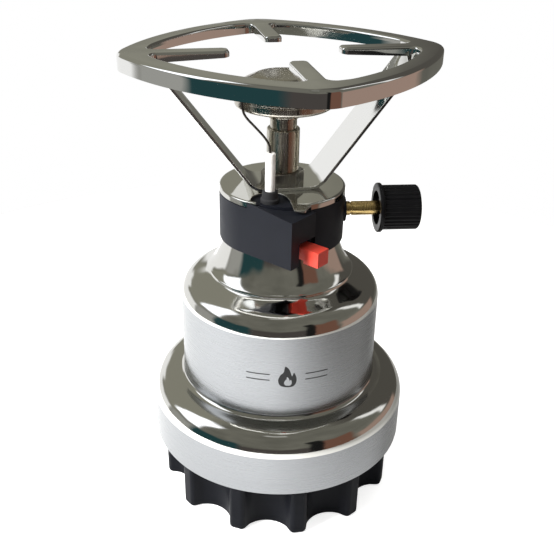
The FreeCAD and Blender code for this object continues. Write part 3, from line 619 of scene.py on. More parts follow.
def baseCap():
    low = floorHeight / mm
    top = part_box("outer_shell")[0].z / mm - base["seam"]
    outline = lobeOutline()
    rings = []
    count = len(outline)
    edge = base["edge"]
    levels = [(edge * (1 - math.sin(math.radians(a))), low + edge * (1 - math.cos(math.radians(a))))
              for a in (0, 15, 30, 45, 60, 75, 90)]
    levels += [(0, top - 0.8), (0.25, top - 0.2), (0.8, top)]
    for inset, height in levels:
        ring = []
        for k in range(count):
            x, y = outline[k]
            before, after = Vector(outline[k - 1]), Vector(outline[(k + 1) % count])
            side = (after - before).normalized()
            ring.append((x - side.y * inset, y + side.x * inset, height))
        rings.append(ring)
    points = [spot for ring in rings for spot in ring]
    faces = [tuple(reversed(range(count)))]
    for level in range(len(rings) - 1):
        for k in range(count):
            a, b = level * count + k, level * count + (k + 1) % count
            faces.append((a, b, b + count, a + count))
    faces.append(tuple(range((len(rings) - 1) * count, len(rings) * count)))
    piece = tidyMesh(pieceFrom("baseCap", points, faces), 40)
    wallTop, wall, thickness = base["wallTop"], base["wall"], base["wallThickness"]
    collar = roundCorners([(wall - thickness, top - 3, 0), (wall, top - 3, 0), (wall, wallTop, 0.8),
                           (wall - thickness, wallTop, 0.8)], 4)
    joined(piece, latheMesh("collar", collar, 240), "UNION")
    pocket = roundCorners([(0, base["floor"], 0), (base["pocket"], base["floor"], 1.2),
                           (base["pocket"], top + 1, 0), (0, top + 1, 0)], 4)
    joined(piece, latheMesh("pocket", pocket, 240), "DIFFERENCE")
    weigh(piece)
    return dress(piece, basePlastic, "base", "base_cap")


baseCap()


def newTree(name):
    tree = bpy.data.node_groups.new(name, "GeometryNodeTree")
    tree.interface.new_socket("Geometry", in_out="OUTPUT", socket_type="NodeSocketGeometry")
    return tree


def treeInput(tree, name, kind, value):
    socket = tree.interface.new_socket(name, in_out="INPUT", socket_type="NodeSocket" + kind)
    if value is not None and kind != "Material":
        socket.default_value = value


def runTree(name, tree, values):
    # builds a piece with the tree, gives its named inputs and turns the result into a plain mesh
    piece = newPiece(name, bpy.data.meshes.new(name))
    maker = piece.modifiers.new("maker", "NODES")
    maker.node_group = tree
    names = {item.name: item.identifier for item in tree.interface.items_tree if item.in_out == "INPUT"}
    for key, value in values.items():
        maker[names[key]] = value
    return applied(piece)


def treeMath(tree, operation, first, second=None):
    node = tree.nodes.new("ShaderNodeMath")
    node.operation = operation
    for socket, value in zip(node.inputs, (first, second)):
        if isinstance(value, (int, float)):
            socket.default_value = value
        elif value is not None:
            tree.links.new(value, socket)
    return node.outputs[0]


def endTree(tree, shape, material):
    # real geometry in one material, sent to the tree's output
    add, link = tree.nodes.new, tree.links.new
    real, coat = add("GeometryNodeRealizeInstances"), add("GeometryNodeSetMaterial")
    link(shape, real.inputs[0])
    link(real.outputs[0], coat.inputs["Geometry"])
    link(material, coat.inputs["Material"])
    link(coat.outputs[0], add("NodeGroupOutput").inputs[0])
    return tree


def helixTree():
    # a raised thread: a spiral carries a small flat-topped section
    tree = newTree("raisedThread")
    for name, kind, value in (("Radius", "Float", 0.058), ("Pitch", "Float", 0.004), ("Turns", "Float", 3.5),
                              ("Start Height", "Float", 0.035), ("Depth", "Float", 0.002),
                              ("Thickness", "Float", 0.0015), ("Material", "Material", None)):
        treeInput(tree, name, kind, value)
    add, link = tree.nodes.new, tree.links.new
    take = add("NodeGroupInput").outputs
    spiral = add("GeometryNodeCurveSpiral")
    spiral.inputs["Resolution"].default_value = 96
    link(take["Turns"], spiral.inputs["Rotations"])
    link(take["Radius"], spiral.inputs["Start Radius"])
    link(take["Radius"], spiral.inputs["End Radius"])
    link(treeMath(tree, "MULTIPLY", take["Turns"], take["Pitch"]), spiral.inputs["Height"])
    lift = add("GeometryNodeTransform")
    shift = add("ShaderNodeCombineXYZ")
    link(take["Start Height"], shift.inputs["Z"])
    link(spiral.outputs[0], lift.inputs["Geometry"])
    link(shift.outputs[0], lift.inputs["Translation"])
    upright = add("GeometryNodeSetCurveNormal")
    upright.mode = "Z_UP"
    link(lift.outputs[0], upright.inputs["Curve"])
    section = add("GeometryNodeCurvePrimitiveQuadrilateral")
    section.mode = "TRAPEZOID"
    section.inputs["Offset"].default_value = 0
    link(treeMath(tree, "MULTIPLY", take["Thickness"], 1.3), section.inputs["Bottom Width"])
    link(treeMath(tree, "MULTIPLY", take["Thickness"], 0.7), section.inputs["Top Width"])
    link(treeMath(tree, "MULTIPLY", take["Depth"], 2.0), section.inputs["Height"])
    tipped = add("GeometryNodeTransform")
    tipped.inputs["Rotation"].default_value = (0, 0, math.pi / 2)
    link(section.outputs[0], tipped.inputs["Geometry"])
    sweep = add("GeometryNodeCurveToMesh")
    sweep.inputs["Fill Caps"].default_value = True
    link(upright.outputs[0], sweep.inputs["Curve"])
    link(tipped.outputs[0], sweep.inputs["Profile Curve"])
    return endTree(tree, sweep.outputs[0], take["Material"])


def baseThread():
    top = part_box("outer_shell")[0].z / mm - base["seam"]
    turns, pitch = base["threadTurns"], base["threadPitch"]
    piece = runTree("baseThread", helixTree(), {
        "Radius": base["wall"] * mm, "Pitch": pitch * mm, "Turns": turns,
        "Start Height": (top + base["threadStart"]) * mm, "Depth": base["threadDepth"] * mm,
        "Thickness": base["threadThickness"] * mm, "Material": basePlastic})
    tidyMesh(piece, 40)
    return dress(piece, basePlastic, "base", ())


baseThread()
print("base made")


# ------------------------------------------------------------ pot support and its strip

support = {
    "turn": 6.0, "sheet": 1.4, "depth": 7.1, "side": 61.3, "sideArc": 126.0, "corner": 16.2, "rim": 9.0,
    "innerCorner": 30.0, "prongWidth": 8.0, "prongTip": 24.0, "prongTipCorner": 2.6, "rootRounding": 5.5,
    "bend": 1.9, "innerBend": 1.2, "lip": 2.2, "prongRoot": 5.2, "prongEnd": 2.6,
    "rootStart": 50.0, "rootEnd": 52.0,
}


def bowedSquare(side, arc, corner, arcSteps=26, cornerSteps=16):
    offset = arc - side
    pull = offset * math.sqrt(2)
    reach = (-pull + math.sqrt(pull ** 2 - 4 * (offset ** 2 - (arc - corner) ** 2))) / 2
    outline = []
    for quarter in range(4):
        tip = Vector((reach, 0))
        before = Vector((-offset, offset)) * math.sqrt(0.5)
        after = Vector((-offset, -offset)) * math.sqrt(0.5)
        start = math.degrees(math.atan2(*reversed(tip - before)))
        end = math.degrees(math.atan2(*reversed(tip - after)))
        points = arcPoints(tip, corner, start, end, cornerSteps)
        points += arcPoints(after, arc, end, 90 - end, arcSteps)[1:-1]
        outline += turnOutline(points, 90 * quarter)
    return outline


def openingOutline():
    # the hole in the rim, with the four prongs reaching into it
    half, tip = support["prongWidth"] / 2, support["prongTip"]
    inner = bowedSquare(support["side"] - support["rim"], support["sideArc"] - support["rim"],
                        support["innerCorner"], 40, 24)
    root = max(x for x, y in inner if abs(y) < half + 1)
    corners = []
    for quarter in range(4):
        stretch = [p for p in turnOutline(inner, -90 * quarter)
                   if p[0] > half + 7.5 and p[1] > half + 7.5]
        stretch.sort(key=lambda p: math.atan2(p[1], p[0]))
        near = Vector((root - 0.2, half))
        piece = [(tip, half, support["prongTipCorner"]), (near.x, near.y, support["rootRounding"])]
        piece += [(x, y, 0) for x, y in stretch]
        piece += [(half, root - 0.2, support["rootRounding"]), (half, tip, support["prongTipCorner"])]
        c, s = math.cos(math.radians(90 * quarter)), math.sin(math.radians(90 * quarter))
        corners += [(x * c - y * s, x * s + y * c, r) for x, y, r in piece]
    return roundCorners(corners, 8)


def offsetOutline(outline, distance):
    # moves each point to its left by distance
    moved = []
    count = len(outline)
    for k in range(count):
        a, b, c = (Vector(outline[(k + d) % count]) for d in (-1, 0, 1))
        first, second = (b - a).normalized(), (c - b).normalized()
        left = Vector((-first.y - second.y, first.x + second.x)).normalized()
        stretch = 1 / max(0.5, left.dot(Vector((-first.y, first.x))))
        moved.append(tuple(b + left * distance * stretch))
    return moved


def prongDepth(x, y):
    # how far the turned-down edge reaches: deepest near a prong's root
    along, across = max(abs(x), abs(y)), min(abs(x), abs(y))
    if across > support["prongWidth"] / 2 + 6:
        return support["lip"]
    slope = (along - support["prongTip"]) / (support["rootStart"] - support["prongTip"])
    deep = support["prongEnd"] + (support["prongRoot"] - support["prongEnd"]) * min(1, max(0, slope))
    fade = min(1, max(0, (across - support["prongWidth"] / 2) / 6))
    fade = max(fade, min(1, max(0, (along - support["rootEnd"]) / 5)))
    return deep + (support["lip"] - deep) * fade


def potSupport():
    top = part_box("pot_support")[1].z / mm
    outer = bowedSquare(support["side"], support["sideArc"], support["corner"])
    opening = openingOutline()
    bend, innerBend = support["bend"], support["innerBend"]
    loops = []
    for angle in (0, 18, 36, 54, 72, 90):
        a = math.radians(angle)
        shifted = offsetOutline(outer, bend * (1 - math.sin(a)))
        loops.append([(x, y, top - bend * (1 - math.cos(a))) for x, y in shifted])
    loops.append([(x, y, top - support["depth"]) for x, y in outer])
    inside = []
    for angle in (0, 22.5, 45, 67.5, 90):
        a = math.radians(angle)
        shifted = offsetOutline(opening, -innerBend * (1 - math.sin(a)))
        inside.append([(x, y, top - innerBend * (1 - math.cos(a))) for x, y in shifted])
    inside.append([(x, y, top - prongDepth(x, y)) for x, y in opening])
    points, faces = [], []
    for rings in (loops, inside):
        for ring, following in zip(rings, rings[1:]):
            addBand(points, faces, ring, following)
    addFill(points, faces, loops[0], inside[0])
    turned = [turnOutline([p[:2]], support["turn"])[0] + (p[2],) for p in points]
    piece = pieceFrom("potSupport", turned, faces)
    tidyMesh(piece, 60)
    work = bmesh.new()
    work.from_mesh(piece.data)
    flat = max(work.faces, key=lambda f: f.calc_center_median().z)
    if flat.normal.z < 0:
        bmesh.ops.reverse_faces(work, faces=work.faces)
    work.to_mesh(piece.data)
    work.free()
    wall = piece.modifiers.new("sheet", "SOLIDIFY")
    wall.thickness = support["sheet"] * mm
    wall.offset = -1
    wall.use_even_offset = True
    wall.use_quality_normals = True
    applied(piece)
    weigh(piece)
    return dress(piece, chrome, "stove", "pot_support")


potSupport()

strip = {
    "width": 24.0, "thickness": 1.4, "flat": 14.5, "bend": 9.7, "shoulder": 57.6, "footBend": 1.4,
    "footWidth": 17.0, "footEnd": 65.0, "footBelow": 1.5, "neckStart": 53.6, "hole": 5.95,
}


def stripSide(offset):
    # the strip's centre line, moved sideways by offset, from the middle out to one foot
    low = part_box("support_strip")[0].z / mm + strip["thickness"] / 2
    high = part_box("pot_support")[1].z / mm - strip["footBelow"] - strip["thickness"] / 2
    run = strip["shoulder"] - strip["flat"]
    slope = math.atan2(high - low, run)
    half = math.tan(slope / 2)
    corners = [(0, low + offset, 0), (strip["flat"] - offset * half, low + offset, strip["bend"] - offset),
               (strip["flat"] + run - offset * half, high + offset, strip["footBend"] + offset),
               (strip["footEnd"], high + offset, 0)]
    return roundCorners(corners, 8, closed=False)


def supportStrip():
    half = strip["thickness"] / 2
    lower, upper = stripSide(-half), stripSide(half)
    profile = lower + list(reversed(upper))
    profile = profile + [(-x, z) for x, z in reversed(profile)]
    profile = [p for k, p in enumerate(profile) if abs(p[0]) > 1e-6]
    wide = strip["width"] / 2
    count = len(profile)
    points = [(x, -wide, z) for x, z in profile] + [(x, wide, z) for x, z in profile]
    faces = [tuple(range(count)), tuple(reversed(range(count, 2 * count)))]
    faces += [(k, count + k, count + (k + 1) % count, (k + 1) % count) for k in range(count)]
    piece = tidyMesh(pieceFrom("supportStrip", points, faces), 30)
    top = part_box("pot_support")[1].z / mm
    start, narrow, reach = strip["neckStart"], strip["footWidth"] / 2, strip["footEnd"] + 5
    for side in (-1, 1):
        for flank in (-1, 1):
            outline = [(side * start, flank * (wide + 2)), (side * (start + 5), flank * narrow),
                       (side * reach, flank * narrow), (side * reach, flank * (wide + 2))]
            joined(piece, prismPiece("trim", outline, top - 12, top + 2), "DIFFERENCE")
    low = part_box("support_strip")[0].z / mm
    joined(piece, drumPiece("hole", strip["hole"], low - 4, low + 6), "DIFFERENCE")
    rounded(piece, 0.28, 2, 50)
    turnPiece(piece, support["turn"])
    return dress(piece, chrome, "stove", "support_strip")


supportStrip()
print("support made")


# ------------------------------------------------------------ igniter housing, cap, nut

housing = {
    "radius": 28.8, "wall": 2.0, "boxInner": 12.2, "drop": 3.2, "windowWidth": 11.0, "windowHeight": 10.5,
    "bossRadius": 6.0, "bossProud": 0.7, "stemHole": 4.0, "edge": 0.55, "igniterTurn": -45.0, "mouth": 23.4,
    "bore": 6.1, "step": 1.5, "roofDrop": 1.3,
}


def igniterHousing():
    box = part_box("igniter_housing")
    low = box[0].z / mm
    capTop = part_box("cap_plate")[1].z / mm
    radius, wall = housing["radius"], housing["wall"]
    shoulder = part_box("cap_plate")[0].z / mm - 0.1
    mouth, bore, step, roof = housing["mouth"], housing["bore"], housing["step"], capTop - housing["roofDrop"]
    ceiling, lip = roof - 1.9, low + 1.4
    drum = [(mouth, low), (radius, low), (radius, shoulder - 0.2), (radius - step, shoulder - 0.1),
            (radius - step, roof), (bore, roof), (bore, ceiling), (radius - wall - step, ceiling),
            (radius - wall, capTop - 6), (radius - wall, lip), (mouth, lip)]
    piece = latheMesh("igniterHousing", drum, 160)

    def slope(x, y):
        return capTop - housing["drop"] * max(0, x) / radius

    inner = -housing["boxInner"]
    corner = [(0, -radius), (radius, -radius), (radius, inner), (0, inner)]
    block = prismPiece("corner", corner, low, slope)
    joined(block, drumPiece("clear", radius + 0.25, shoulder - 0.2, capTop + 3, steps=160), "DIFFERENCE")
    across, near, far = radius - wall, wall - radius, inner - wall
    hollow = [(1, near), (across, near), (across, far), (1, far)]
    turnPiece(block, housing["igniterTurn"])
    joined(piece, block, "UNION")
    inside = prismPiece("hollow", hollow, low - 1, lambda x, y: slope(x, y) - wall - 0.5)
    joined(piece, turnPiece(inside, housing["igniterTurn"]), "DIFFERENCE")
    window = boxPiece("window", (radius - 8, inner - housing["windowWidth"], low - 1),
                      (radius + 6, inner, low + housing["windowHeight"]))
    joined(piece, turnPiece(window, housing["igniterTurn"]), "DIFFERENCE")
    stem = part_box("valve_spindle")
    stemHeight = (stem[0].z + stem[1].z) / 2 / mm
    proud = radius + housing["bossProud"]
    joined(piece, rodAlongX("boss", housing["bossRadius"], radius - 1.6, proud, 0, stemHeight), "UNION")
    joined(piece, rodAlongX("bore", housing["stemHole"], radius - 5, radius + 5, 0, stemHeight), "DIFFERENCE")
    rounded(piece, housing["edge"], 3, 32)
    return dress(piece, blackPlastic, "stove", "igniter_housing")


igniterHousing()

cap = {
    "radius": 28.8, "sheet": 1.0, "roll": 1.1, "edge": 0.3, "skirt": 2.7, "skirtWidth": 0.8, "edgeWidth": 0.2,
    "notch": 8.1, "hole": 5.95, "tongueSpan": (-2, 12),
    "rimStart": -70.0, "rimEnd": -118.0, "notchEnd": 2.0,
    "tongueLeft": 1.0, "tongueRight": 9.9, "tipLeft": 1.9, "tipRight": 6.6, "reach": 32.3, "tongueDrop": 0.95,
}


def capOutline():
    # the rim, the round notch round the ceramic, and the tongue over the housing's corner
    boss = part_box("ceramic_insulator")
    bx, by = (boss[0].x + boss[1].x) / 2 / mm, (boss[0].y + boss[1].y) / 2 / mm
    radius, notch = cap["radius"], cap["notch"]
    rim = arcPoints((0, 0), radius, cap["rimStart"], 360 + cap["rimEnd"], 110)
    last = Vector(rim[-1])
    start = math.degrees(math.atan2(last.y - by, last.x - bx)) % 360
    bite = arcPoints((bx, by), notch, start - 18, cap["notchEnd"], 30)
    corners = [(x, y, 0) for x, y in rim[:-1]] + [(last.x, last.y, 0.8)] + [(x, y, 0) for x, y in bite]
    corners += [(cap["tongueLeft"], -22.6, 1.5), (cap["tongueLeft"] + 0.2, -27.0, 3.0),
                (cap["tipLeft"], -cap["reach"], 0.9), (cap["tipRight"], -cap["reach"], 1.0),
                (cap["tongueRight"], -27.4, 1.5)]
    return roundCorners(corners, 5)


def capPiece():
    shape = capOutline()
    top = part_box("cap_plate")[1].z / mm

    def onRim(x, y):
        angle = math.degrees(math.atan2(y, x))
        return math.hypot(x, y) > cap["radius"] - 0.05 and not -116 < angle < -72

    rolls = [cap["roll"] if onRim(x, y) else cap["edge"] for x, y in shape]
    nudge = 0.1
    inner = offsetOutline(shape, nudge)
    loops = []
    for angle in (0, 18, 36, 54, 72, 90):
        a = math.radians(angle)
        loop = []
        for (x, y), (ix, iy), roll in zip(shape, inner, rolls):
            far = roll * (1 - math.sin(a)) / nudge
            loop.append((x + (ix - x) * far, y + (iy - y) * far, top - roll * (1 - math.cos(a))))
        loops.append(loop)
    depths = [cap["skirt"] if onRim(x, y) else cap["sheet"] for x, y in shape]
    widths = [cap["skirtWidth"] if onRim(x, y) else cap["edgeWidth"] for x, y in shape]
    under = top - cap["sheet"] - 0.1
    within = [(x + (ix - x) * wide / nudge, y + (iy - y) * wide / nudge)
              for (x, y), (ix, iy), wide in zip(shape, inner, widths)]
    loops.append([(x, y, top - depth) for (x, y), depth in zip(shape, depths)])
    loops.append([(x, y, top - depth) for (x, y), depth in zip(within, depths)])
    loops.append([(x, y, under) for x, y in within])
    points, faces = [], []
    for ring, following in zip(loops, loops[1:]):
        addBand(points, faces, ring, following)
    hole = arcPoints((0, 0), cap["hole"], 0, 350, 35)
    bore = [[(x, y, level) for x, y in hole] for level in (top, under)]
    addFill(points, faces, loops[0], bore[0])
    addFill(points, faces, loops[-1], bore[1])
    addBand(points, faces, *bore)
    bendLine = cap["radius"] - 1.5
    slope = cap["tongueDrop"] / (cap["reach"] - bendLine)
    left, right = cap["tongueSpan"]
    bent = [(x, y, z + (y + bendLine) * slope if left < x < right and y < -bendLine else z)
            for x, y, z in points]
    piece = pieceFrom("capPlate", bent, faces)
    tidyMesh(piece, 60)
    weigh(piece)
    return dress(piece, polished, "stove", "cap_plate")


capPiece()

nut = {"flats": 17.0, "bore": 5.85, "chamfer": 0.9}


def clampNut():
    low, high = (z / mm for z in (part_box("clamp_nut")[0].z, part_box("clamp_nut")[1].z))
    corner = nut["flats"] / math.sqrt(3)
    outline = arcPoints((0, 0), corner, 0, 300, 5)
    piece = prismPiece("clampNut", outline, low, high)
    flat = nut["flats"] / 2
    wide = corner + 1
    cone = [(0, low - 1), (wide, low - 1), (wide, high - nut["chamfer"]), (flat - 0.1, high), (0, high)]
    joined(piece, latheMesh("chamfer", cone, 96), "INTERSECT")
    joined(piece, drumPiece("bore", nut["bore"], low - 1, high + 1), "DIFFERENCE")
    rounded(piece, 0.16, 2, 25)
    return dress(piece, zincSteel, "stove", "clamp_nut")


clampNut()
print("housing, cap and nut made")


# ------------------------------------------------------------ igniter

igniter = {"buttonRounding": 0.55, "wireRadius": 0.5, "tube": 2.2}


def ignitionButton():
    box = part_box("ignition_button")
    piezo = {"side": 20.0, "width": 7.4, "front": 36.5, "head": 7.8, "well": 23.8}
    low, high = box[0].z / mm, box[1].z / mm
    head = boxPiece("ignitionButton", (piezo["front"] - piezo["head"], -piezo["side"], low),
                    (piezo["front"], -piezo["side"] + piezo["width"], high))
    tail = boxPiece("tail", (piezo["well"] - 8, -piezo["side"] + 0.05, low + 1.4),
                    (piezo["front"] - piezo["head"] + 1, -piezo["side"] + piezo["width"] - 0.05, high - 0.05))
    joined(head, tail, "UNION")
    rounded(head, igniter["buttonRounding"], 4, 40)
    turnPiece(head, housing["igniterTurn"])
    return dress(head, redPlastic, "push_button", "ignition_button")


ignitionButton()


def ceramicTube():
    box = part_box("ceramic_insulator")
    x, y = (box[0].x + box[1].x) / 2 / mm, (box[0].y + box[1].y) / 2 / mm
    radius = (box[1].x - box[0].x) / 2 / mm
    low, high = box[0].z / mm, box[1].z / mm
    outline = roundCorners([(0.56, low, 0), (radius, low, 0.4), (radius, high, 0.7), (0.56, high, 0.3)], 5)
    piece = latheMesh("ceramicInsulator", outline, 64, "Z", (x, y, 0))
    return dress(piece, ceramic, "stove", "ceramic_insulator")


ceramicTube()


def grommet():
    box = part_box("electrode_grommet")
    x, y = (box[0].x + box[1].x) / 2 / mm, (box[0].y + box[1].y) / 2 / mm
    radius = (box[1].x - box[0].x) / 2 / mm
    low, high = box[0].z / mm, box[1].z / mm
    bore = igniter["tube"] + 0.06
    outline = roundCorners([(bore, low, 0), (radius, low, 0), (radius, low + 1.6, 0.3),
                            (radius - 0.5, low + 2.2, 0.3), (radius - 0.8, high, 0.8), (bore, high, 0.3)], 5)
    piece = latheMesh("electrodeGrommet", outline, 64, "Z", (x, y, 0))
    return dress(piece, rubber, "stove", "electrode_grommet")


grommet()


def sparkElectrode():
    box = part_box("ceramic_insulator")
    x, y, top = (box[0].x + box[1].x) / 2, (box[0].y + box[1].y) / 2, box[1].z
    route = [(0, 0, -26), (0, 0, -10), (0, 0, 0.8), (-0.6, 0.2, 3.6), (-2.6, 0.9, 6.6), (-6.6, 1.4, 10.9),
             (-10.6, 1.8, 15.0), (-11.9, 1.9, 18.6), (-12.0, 2.0, 22.6)]
    curve = bpy.data.curves.new("sparkElectrode", "CURVE")
    curve.dimensions = "3D"
    curve.bevel_depth = igniter["wireRadius"] * mm
    curve.bevel_resolution = 5
    curve.use_fill_caps = True
    curve.resolution_u = 10
    line = curve.splines.new("NURBS")
    line.points.add(len(route) - 1)
    for point, spot in zip(line.points, route):
        point.co = (x + spot[0] * mm, y + spot[1] * mm, top + spot[2] * mm, 1)
    line.order_u = 3
    line.use_endpoint_u = True
    bent = newPiece("bentWire", curve)
    graph = bpy.context.evaluated_depsgraph_get()
    piece = newPiece("sparkElectrode", bpy.data.meshes.new_from_object(bent.evaluated_get(graph)))
    bpy.data.objects.remove(bent)
    tidyMesh(piece, 50)
    return dress(piece, wire, "stove", "spark_electrode")


sparkElectrode()
print("igniter made")


# ------------------------------------------------------------ burner

burner = {
    "sleeve": 7.33, "sleeveBore": 6.0, "tube": 5.95, "tubeBore": 5.15, "bowl": 21.7, "lipBottom": 195.0,
    "lipTop": 198.5, "sheet": 0.8, "cone": 18.4, "coneTop": 205.3, "crownRadius": 12.0, "crownTop": 208.3,
    "crownRise": 0.4, "ports": 30, "portRadius": 0.85, "portDrop": 1.6, "rowDrop": 2.8,
    "airHole": 2.2, "airRise": 8.1, "neck": 1.0,
}


def burnerTubes():
    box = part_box("venturi_sleeve")
    low, high = box[0].z / mm, box[1].z / mm
    airHeight = low + burner["airRise"]
    r, bore = burner["sleeve"], burner["sleeveBore"]
    outline = roundCorners([(bore, low, 0), (r, low, 0.3), (r, high, 0.9), (bore, high, 0.25)], 6)
    sleeve = latheMesh("venturiSleeve", outline, 96)
    for angle in (40, 140):
        hole = drumPiece("airHole", burner["airHole"], 0, 12, steps=48)
        hole.data.transform(Matrix.Rotation(math.radians(90), 4, "Y"))
        hole.data.transform(Matrix.Rotation(math.radians(angle), 4, "Z"))
        hole.data.transform(Matrix.Translation((0, 0, airHeight * mm)))
        joined(sleeve, hole, "DIFFERENCE")
    weigh(sleeve)
    dress(sleeve, tubeSteel, "stove", "venturi_sleeve")
    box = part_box("mixing_tube")
    outline = roundCorners([(burner["tubeBore"], box[0].z / mm, 0), (burner["tube"], box[0].z / mm, 0.2),
                            (burner["tube"], box[1].z / mm, 0.2), (burner["tubeBore"], box[1].z / mm, 0)], 4)
    dress(latheMesh("mixingTube", outline, 96), tubeSteel, "stove", "mixing_tube")


burnerTubes()


def burnerBowl():
    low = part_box("burner_bowl")[0].z / mm
    fit, sheet, lip = burner["sleeveBore"], burner["sheet"], burner["bowl"]
    head = low + burner["neck"]
    corners = [(fit + sheet, low, 0), (fit + sheet, head, 1.0), (13.0, head + 2.0, 5.0),
               (lip, burner["lipBottom"], 1.6), (lip, burner["lipTop"], 0.3),
               (lip - sheet, burner["lipTop"], 0), (lip - sheet, burner["lipBottom"] + 0.7, 1.0),
               (12.6, head + 2.9, 5.0), (fit, head + 0.9, 1.0), (fit, low, 0)]
    piece = latheMesh("burnerBowl", roundCorners(corners, 6), 160)
    return dress(piece, headSteel, "stove", "burner_bowl")


burnerBowl()


def portTree():
    # a ring of upright rods turned outwards, used as cutters for the ports
    tree = newTree("burnerPorts")
    for name, kind, value in (("Ports", "Int", 30), ("Ring Radius", "Float", 0.015),
                              ("Port Radius", "Float", 0.0008), ("Height", "Float", 0.2),
                              ("Row Drop", "Float", 0.003), ("Material", "Material", None)):
        treeInput(tree, name, kind, value)
    add, link = tree.nodes.new, tree.links.new
    take = add("NodeGroupInput").outputs
    both = add("GeometryNodeJoinGeometry")
    for row in (0, 1):
        ring = add("GeometryNodeCurvePrimitiveCircle")
        link(take["Ports"], ring.inputs["Resolution"])
        link(take["Ring Radius"], ring.inputs["Radius"])
        points = add("GeometryNodeCurveToPoints")
        points.mode = "COUNT"
        link(ring.outputs[0], points.inputs["Curve"])
        link(take["Ports"], points.inputs["Count"])
        rod = add("GeometryNodeMeshCylinder")
        rod.inputs["Vertices"].default_value = 14
        rod.inputs["Depth"].default_value = 0.009
        link(take["Port Radius"], rod.inputs["Radius"])
        aim = add("FunctionNodeAlignRotationToVector")
        aim.axis = "Z"
        place = add("GeometryNodeInputPosition")
        link(place.outputs[0], aim.inputs["Vector"])
        spread = add("GeometryNodeInstanceOnPoints")
        link(points.outputs["Points"], spread.inputs["Points"])
        link(rod.outputs["Mesh"], spread.inputs["Instance"])
        link(aim.outputs[0], spread.inputs["Rotation"])
        lift = add("GeometryNodeTransform")
        shift = add("ShaderNodeCombineXYZ")
        drop = treeMath(tree, "MULTIPLY", take["Row Drop"], float(row))
        link(treeMath(tree, "SUBTRACT", take["Height"], drop), shift.inputs["Z"])
        turn = add("ShaderNodeCombineXYZ")
        link(treeMath(tree, "DIVIDE", math.pi * row, take["Ports"]), turn.inputs["Z"])
        link(spread.outputs[0], lift.inputs["Geometry"])
        link(shift.outputs[0], lift.inputs["Translation"])
        link(turn.outputs[0], lift.inputs["Rotation"])
        link(lift.outputs[0], both.inputs[0])
    return endTree(tree, both.outputs[0], take["Material"])


def burnerCap():
    sheet, seat = burner["sheet"], burner["lipTop"] + 0.5
    bowl, cone, crown = burner["bowl"], burner["cone"], burner["crownRadius"]
    top = burner["crownTop"]
    coneTop, peak = burner["coneTop"], top + burner["crownRise"]
    corners = [(bowl, seat, 0.2), (bowl, seat + 1.2, 0.8), (cone, coneTop, 3.0), (crown, top, 6.0),
               (0, peak, 0), (0, peak - sheet, 0), (crown, top - sheet, 6.0),
               (cone - sheet, coneTop - 0.5, 3.0), (bowl - sheet, seat + 1.0, 0.5), (bowl - sheet, seat, 0)]
    piece = latheMesh("burnerCap", roundCorners(corners, 6), 180)
    cutters = runTree("portCutters", portTree(), {
        "Ports": burner["ports"], "Ring Radius": (cone - 1) * mm, "Port Radius": burner["portRadius"] * mm,
        "Height": (coneTop - burner["portDrop"]) * mm, "Row Drop": burner["rowDrop"] * mm,
        "Material": headSteel})
    joined(piece, cutters, "DIFFERENCE")
    weigh(piece)
    return dress(piece, headSteel, "stove", "burner_cap")


burnerCap()
print("burner made")


# ------------------------------------------------------------ valve stem and knob

knob = {
    "start": 44.5, "flange": 11.6, "flangeLength": 2.0, "radius": 10.5, "end": 63.9, "recess": 7.9,
    "recessDepth": 11.0, "hub": 5.4, "insert": 4.4, "insertCover": 6.7, "sleeveBore": 3.32, "flutes": 30,
    "fluteDepth": 0.5, "endRounding": 1.4,
}


def valveStem():
    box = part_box("valve_spindle")
    z = (box[0].z + box[1].z) / 2 / mm
    start, end, r = box[0].x / mm, box[1].x / mm, (box[1].z - box[0].z) / 2 / mm
    groove = housing["radius"] + 3.0
    corners = [(0, start, 0), (r, start, 0.3), (r, 13, 0), (r - 1.2, 13, 0), (r - 1.2, 15, 0), (r, 15, 0),
               (r, groove, 0.1), (r - 0.45, groove, 0), (r - 0.45, groove + 0.8, 0), (r, groove + 0.8, 0.1),
               (r, end, 0.5), (0, end, 0)]
    piece = latheMesh("valveStem", roundCorners(corners, 4), 80, "X", (0, 0, z))
    return dress(piece, brass, "knob", "valve_spindle")


valveStem()


def flutedRadius(radius, height, angle):
    # shallow flutes on the grip only, fading out at its outer end
    if radius < knob["radius"] - 1.6 or height < knob["start"] + knob["flangeLength"] + 0.2:
        return radius
    wave = 0.5 - 0.5 * math.cos(knob["flutes"] * angle)
    fade = min(1, max(0, (knob["end"] - height) / 1.2))
    return radius - knob["fluteDepth"] * wave ** 2.2 * fade


def knobPiece():
    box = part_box("knob")
    z = (box[0].z + box[1].z) / 2 / mm
    start, flangeEnd, end = knob["start"], knob["start"] + knob["flangeLength"], knob["end"]
    r, hubStart = knob["radius"], knob["start"] + 2
    depth = start + knob["recessDepth"]
    corners = [(0, end, 0), (r, end, knob["endRounding"])]
    corners += [(r, end - 2.2 - (end - 2.2 - flangeEnd) * k / 5, 0) for k in range(5)]
    corners += [(r, flangeEnd, 0.3), (knob["flange"], flangeEnd, 0.6), (knob["flange"], start, 0.6),
                (knob["recess"], start, 0.3), (knob["recess"], depth, 0.5), (knob["hub"], depth, 0.5),
                (knob["hub"], hubStart, 0.3), (knob["insert"], hubStart, 0),
                (knob["insert"], end - knob["insertCover"], 0), (0, end - knob["insertCover"], 0)]
    piece = latheMesh("gasKnob", roundCorners(corners, 5), 480, "X", (0, 0, z), flutedRadius)
    return dress(piece, knobPlastic, "knob", "knob")


knobPiece()


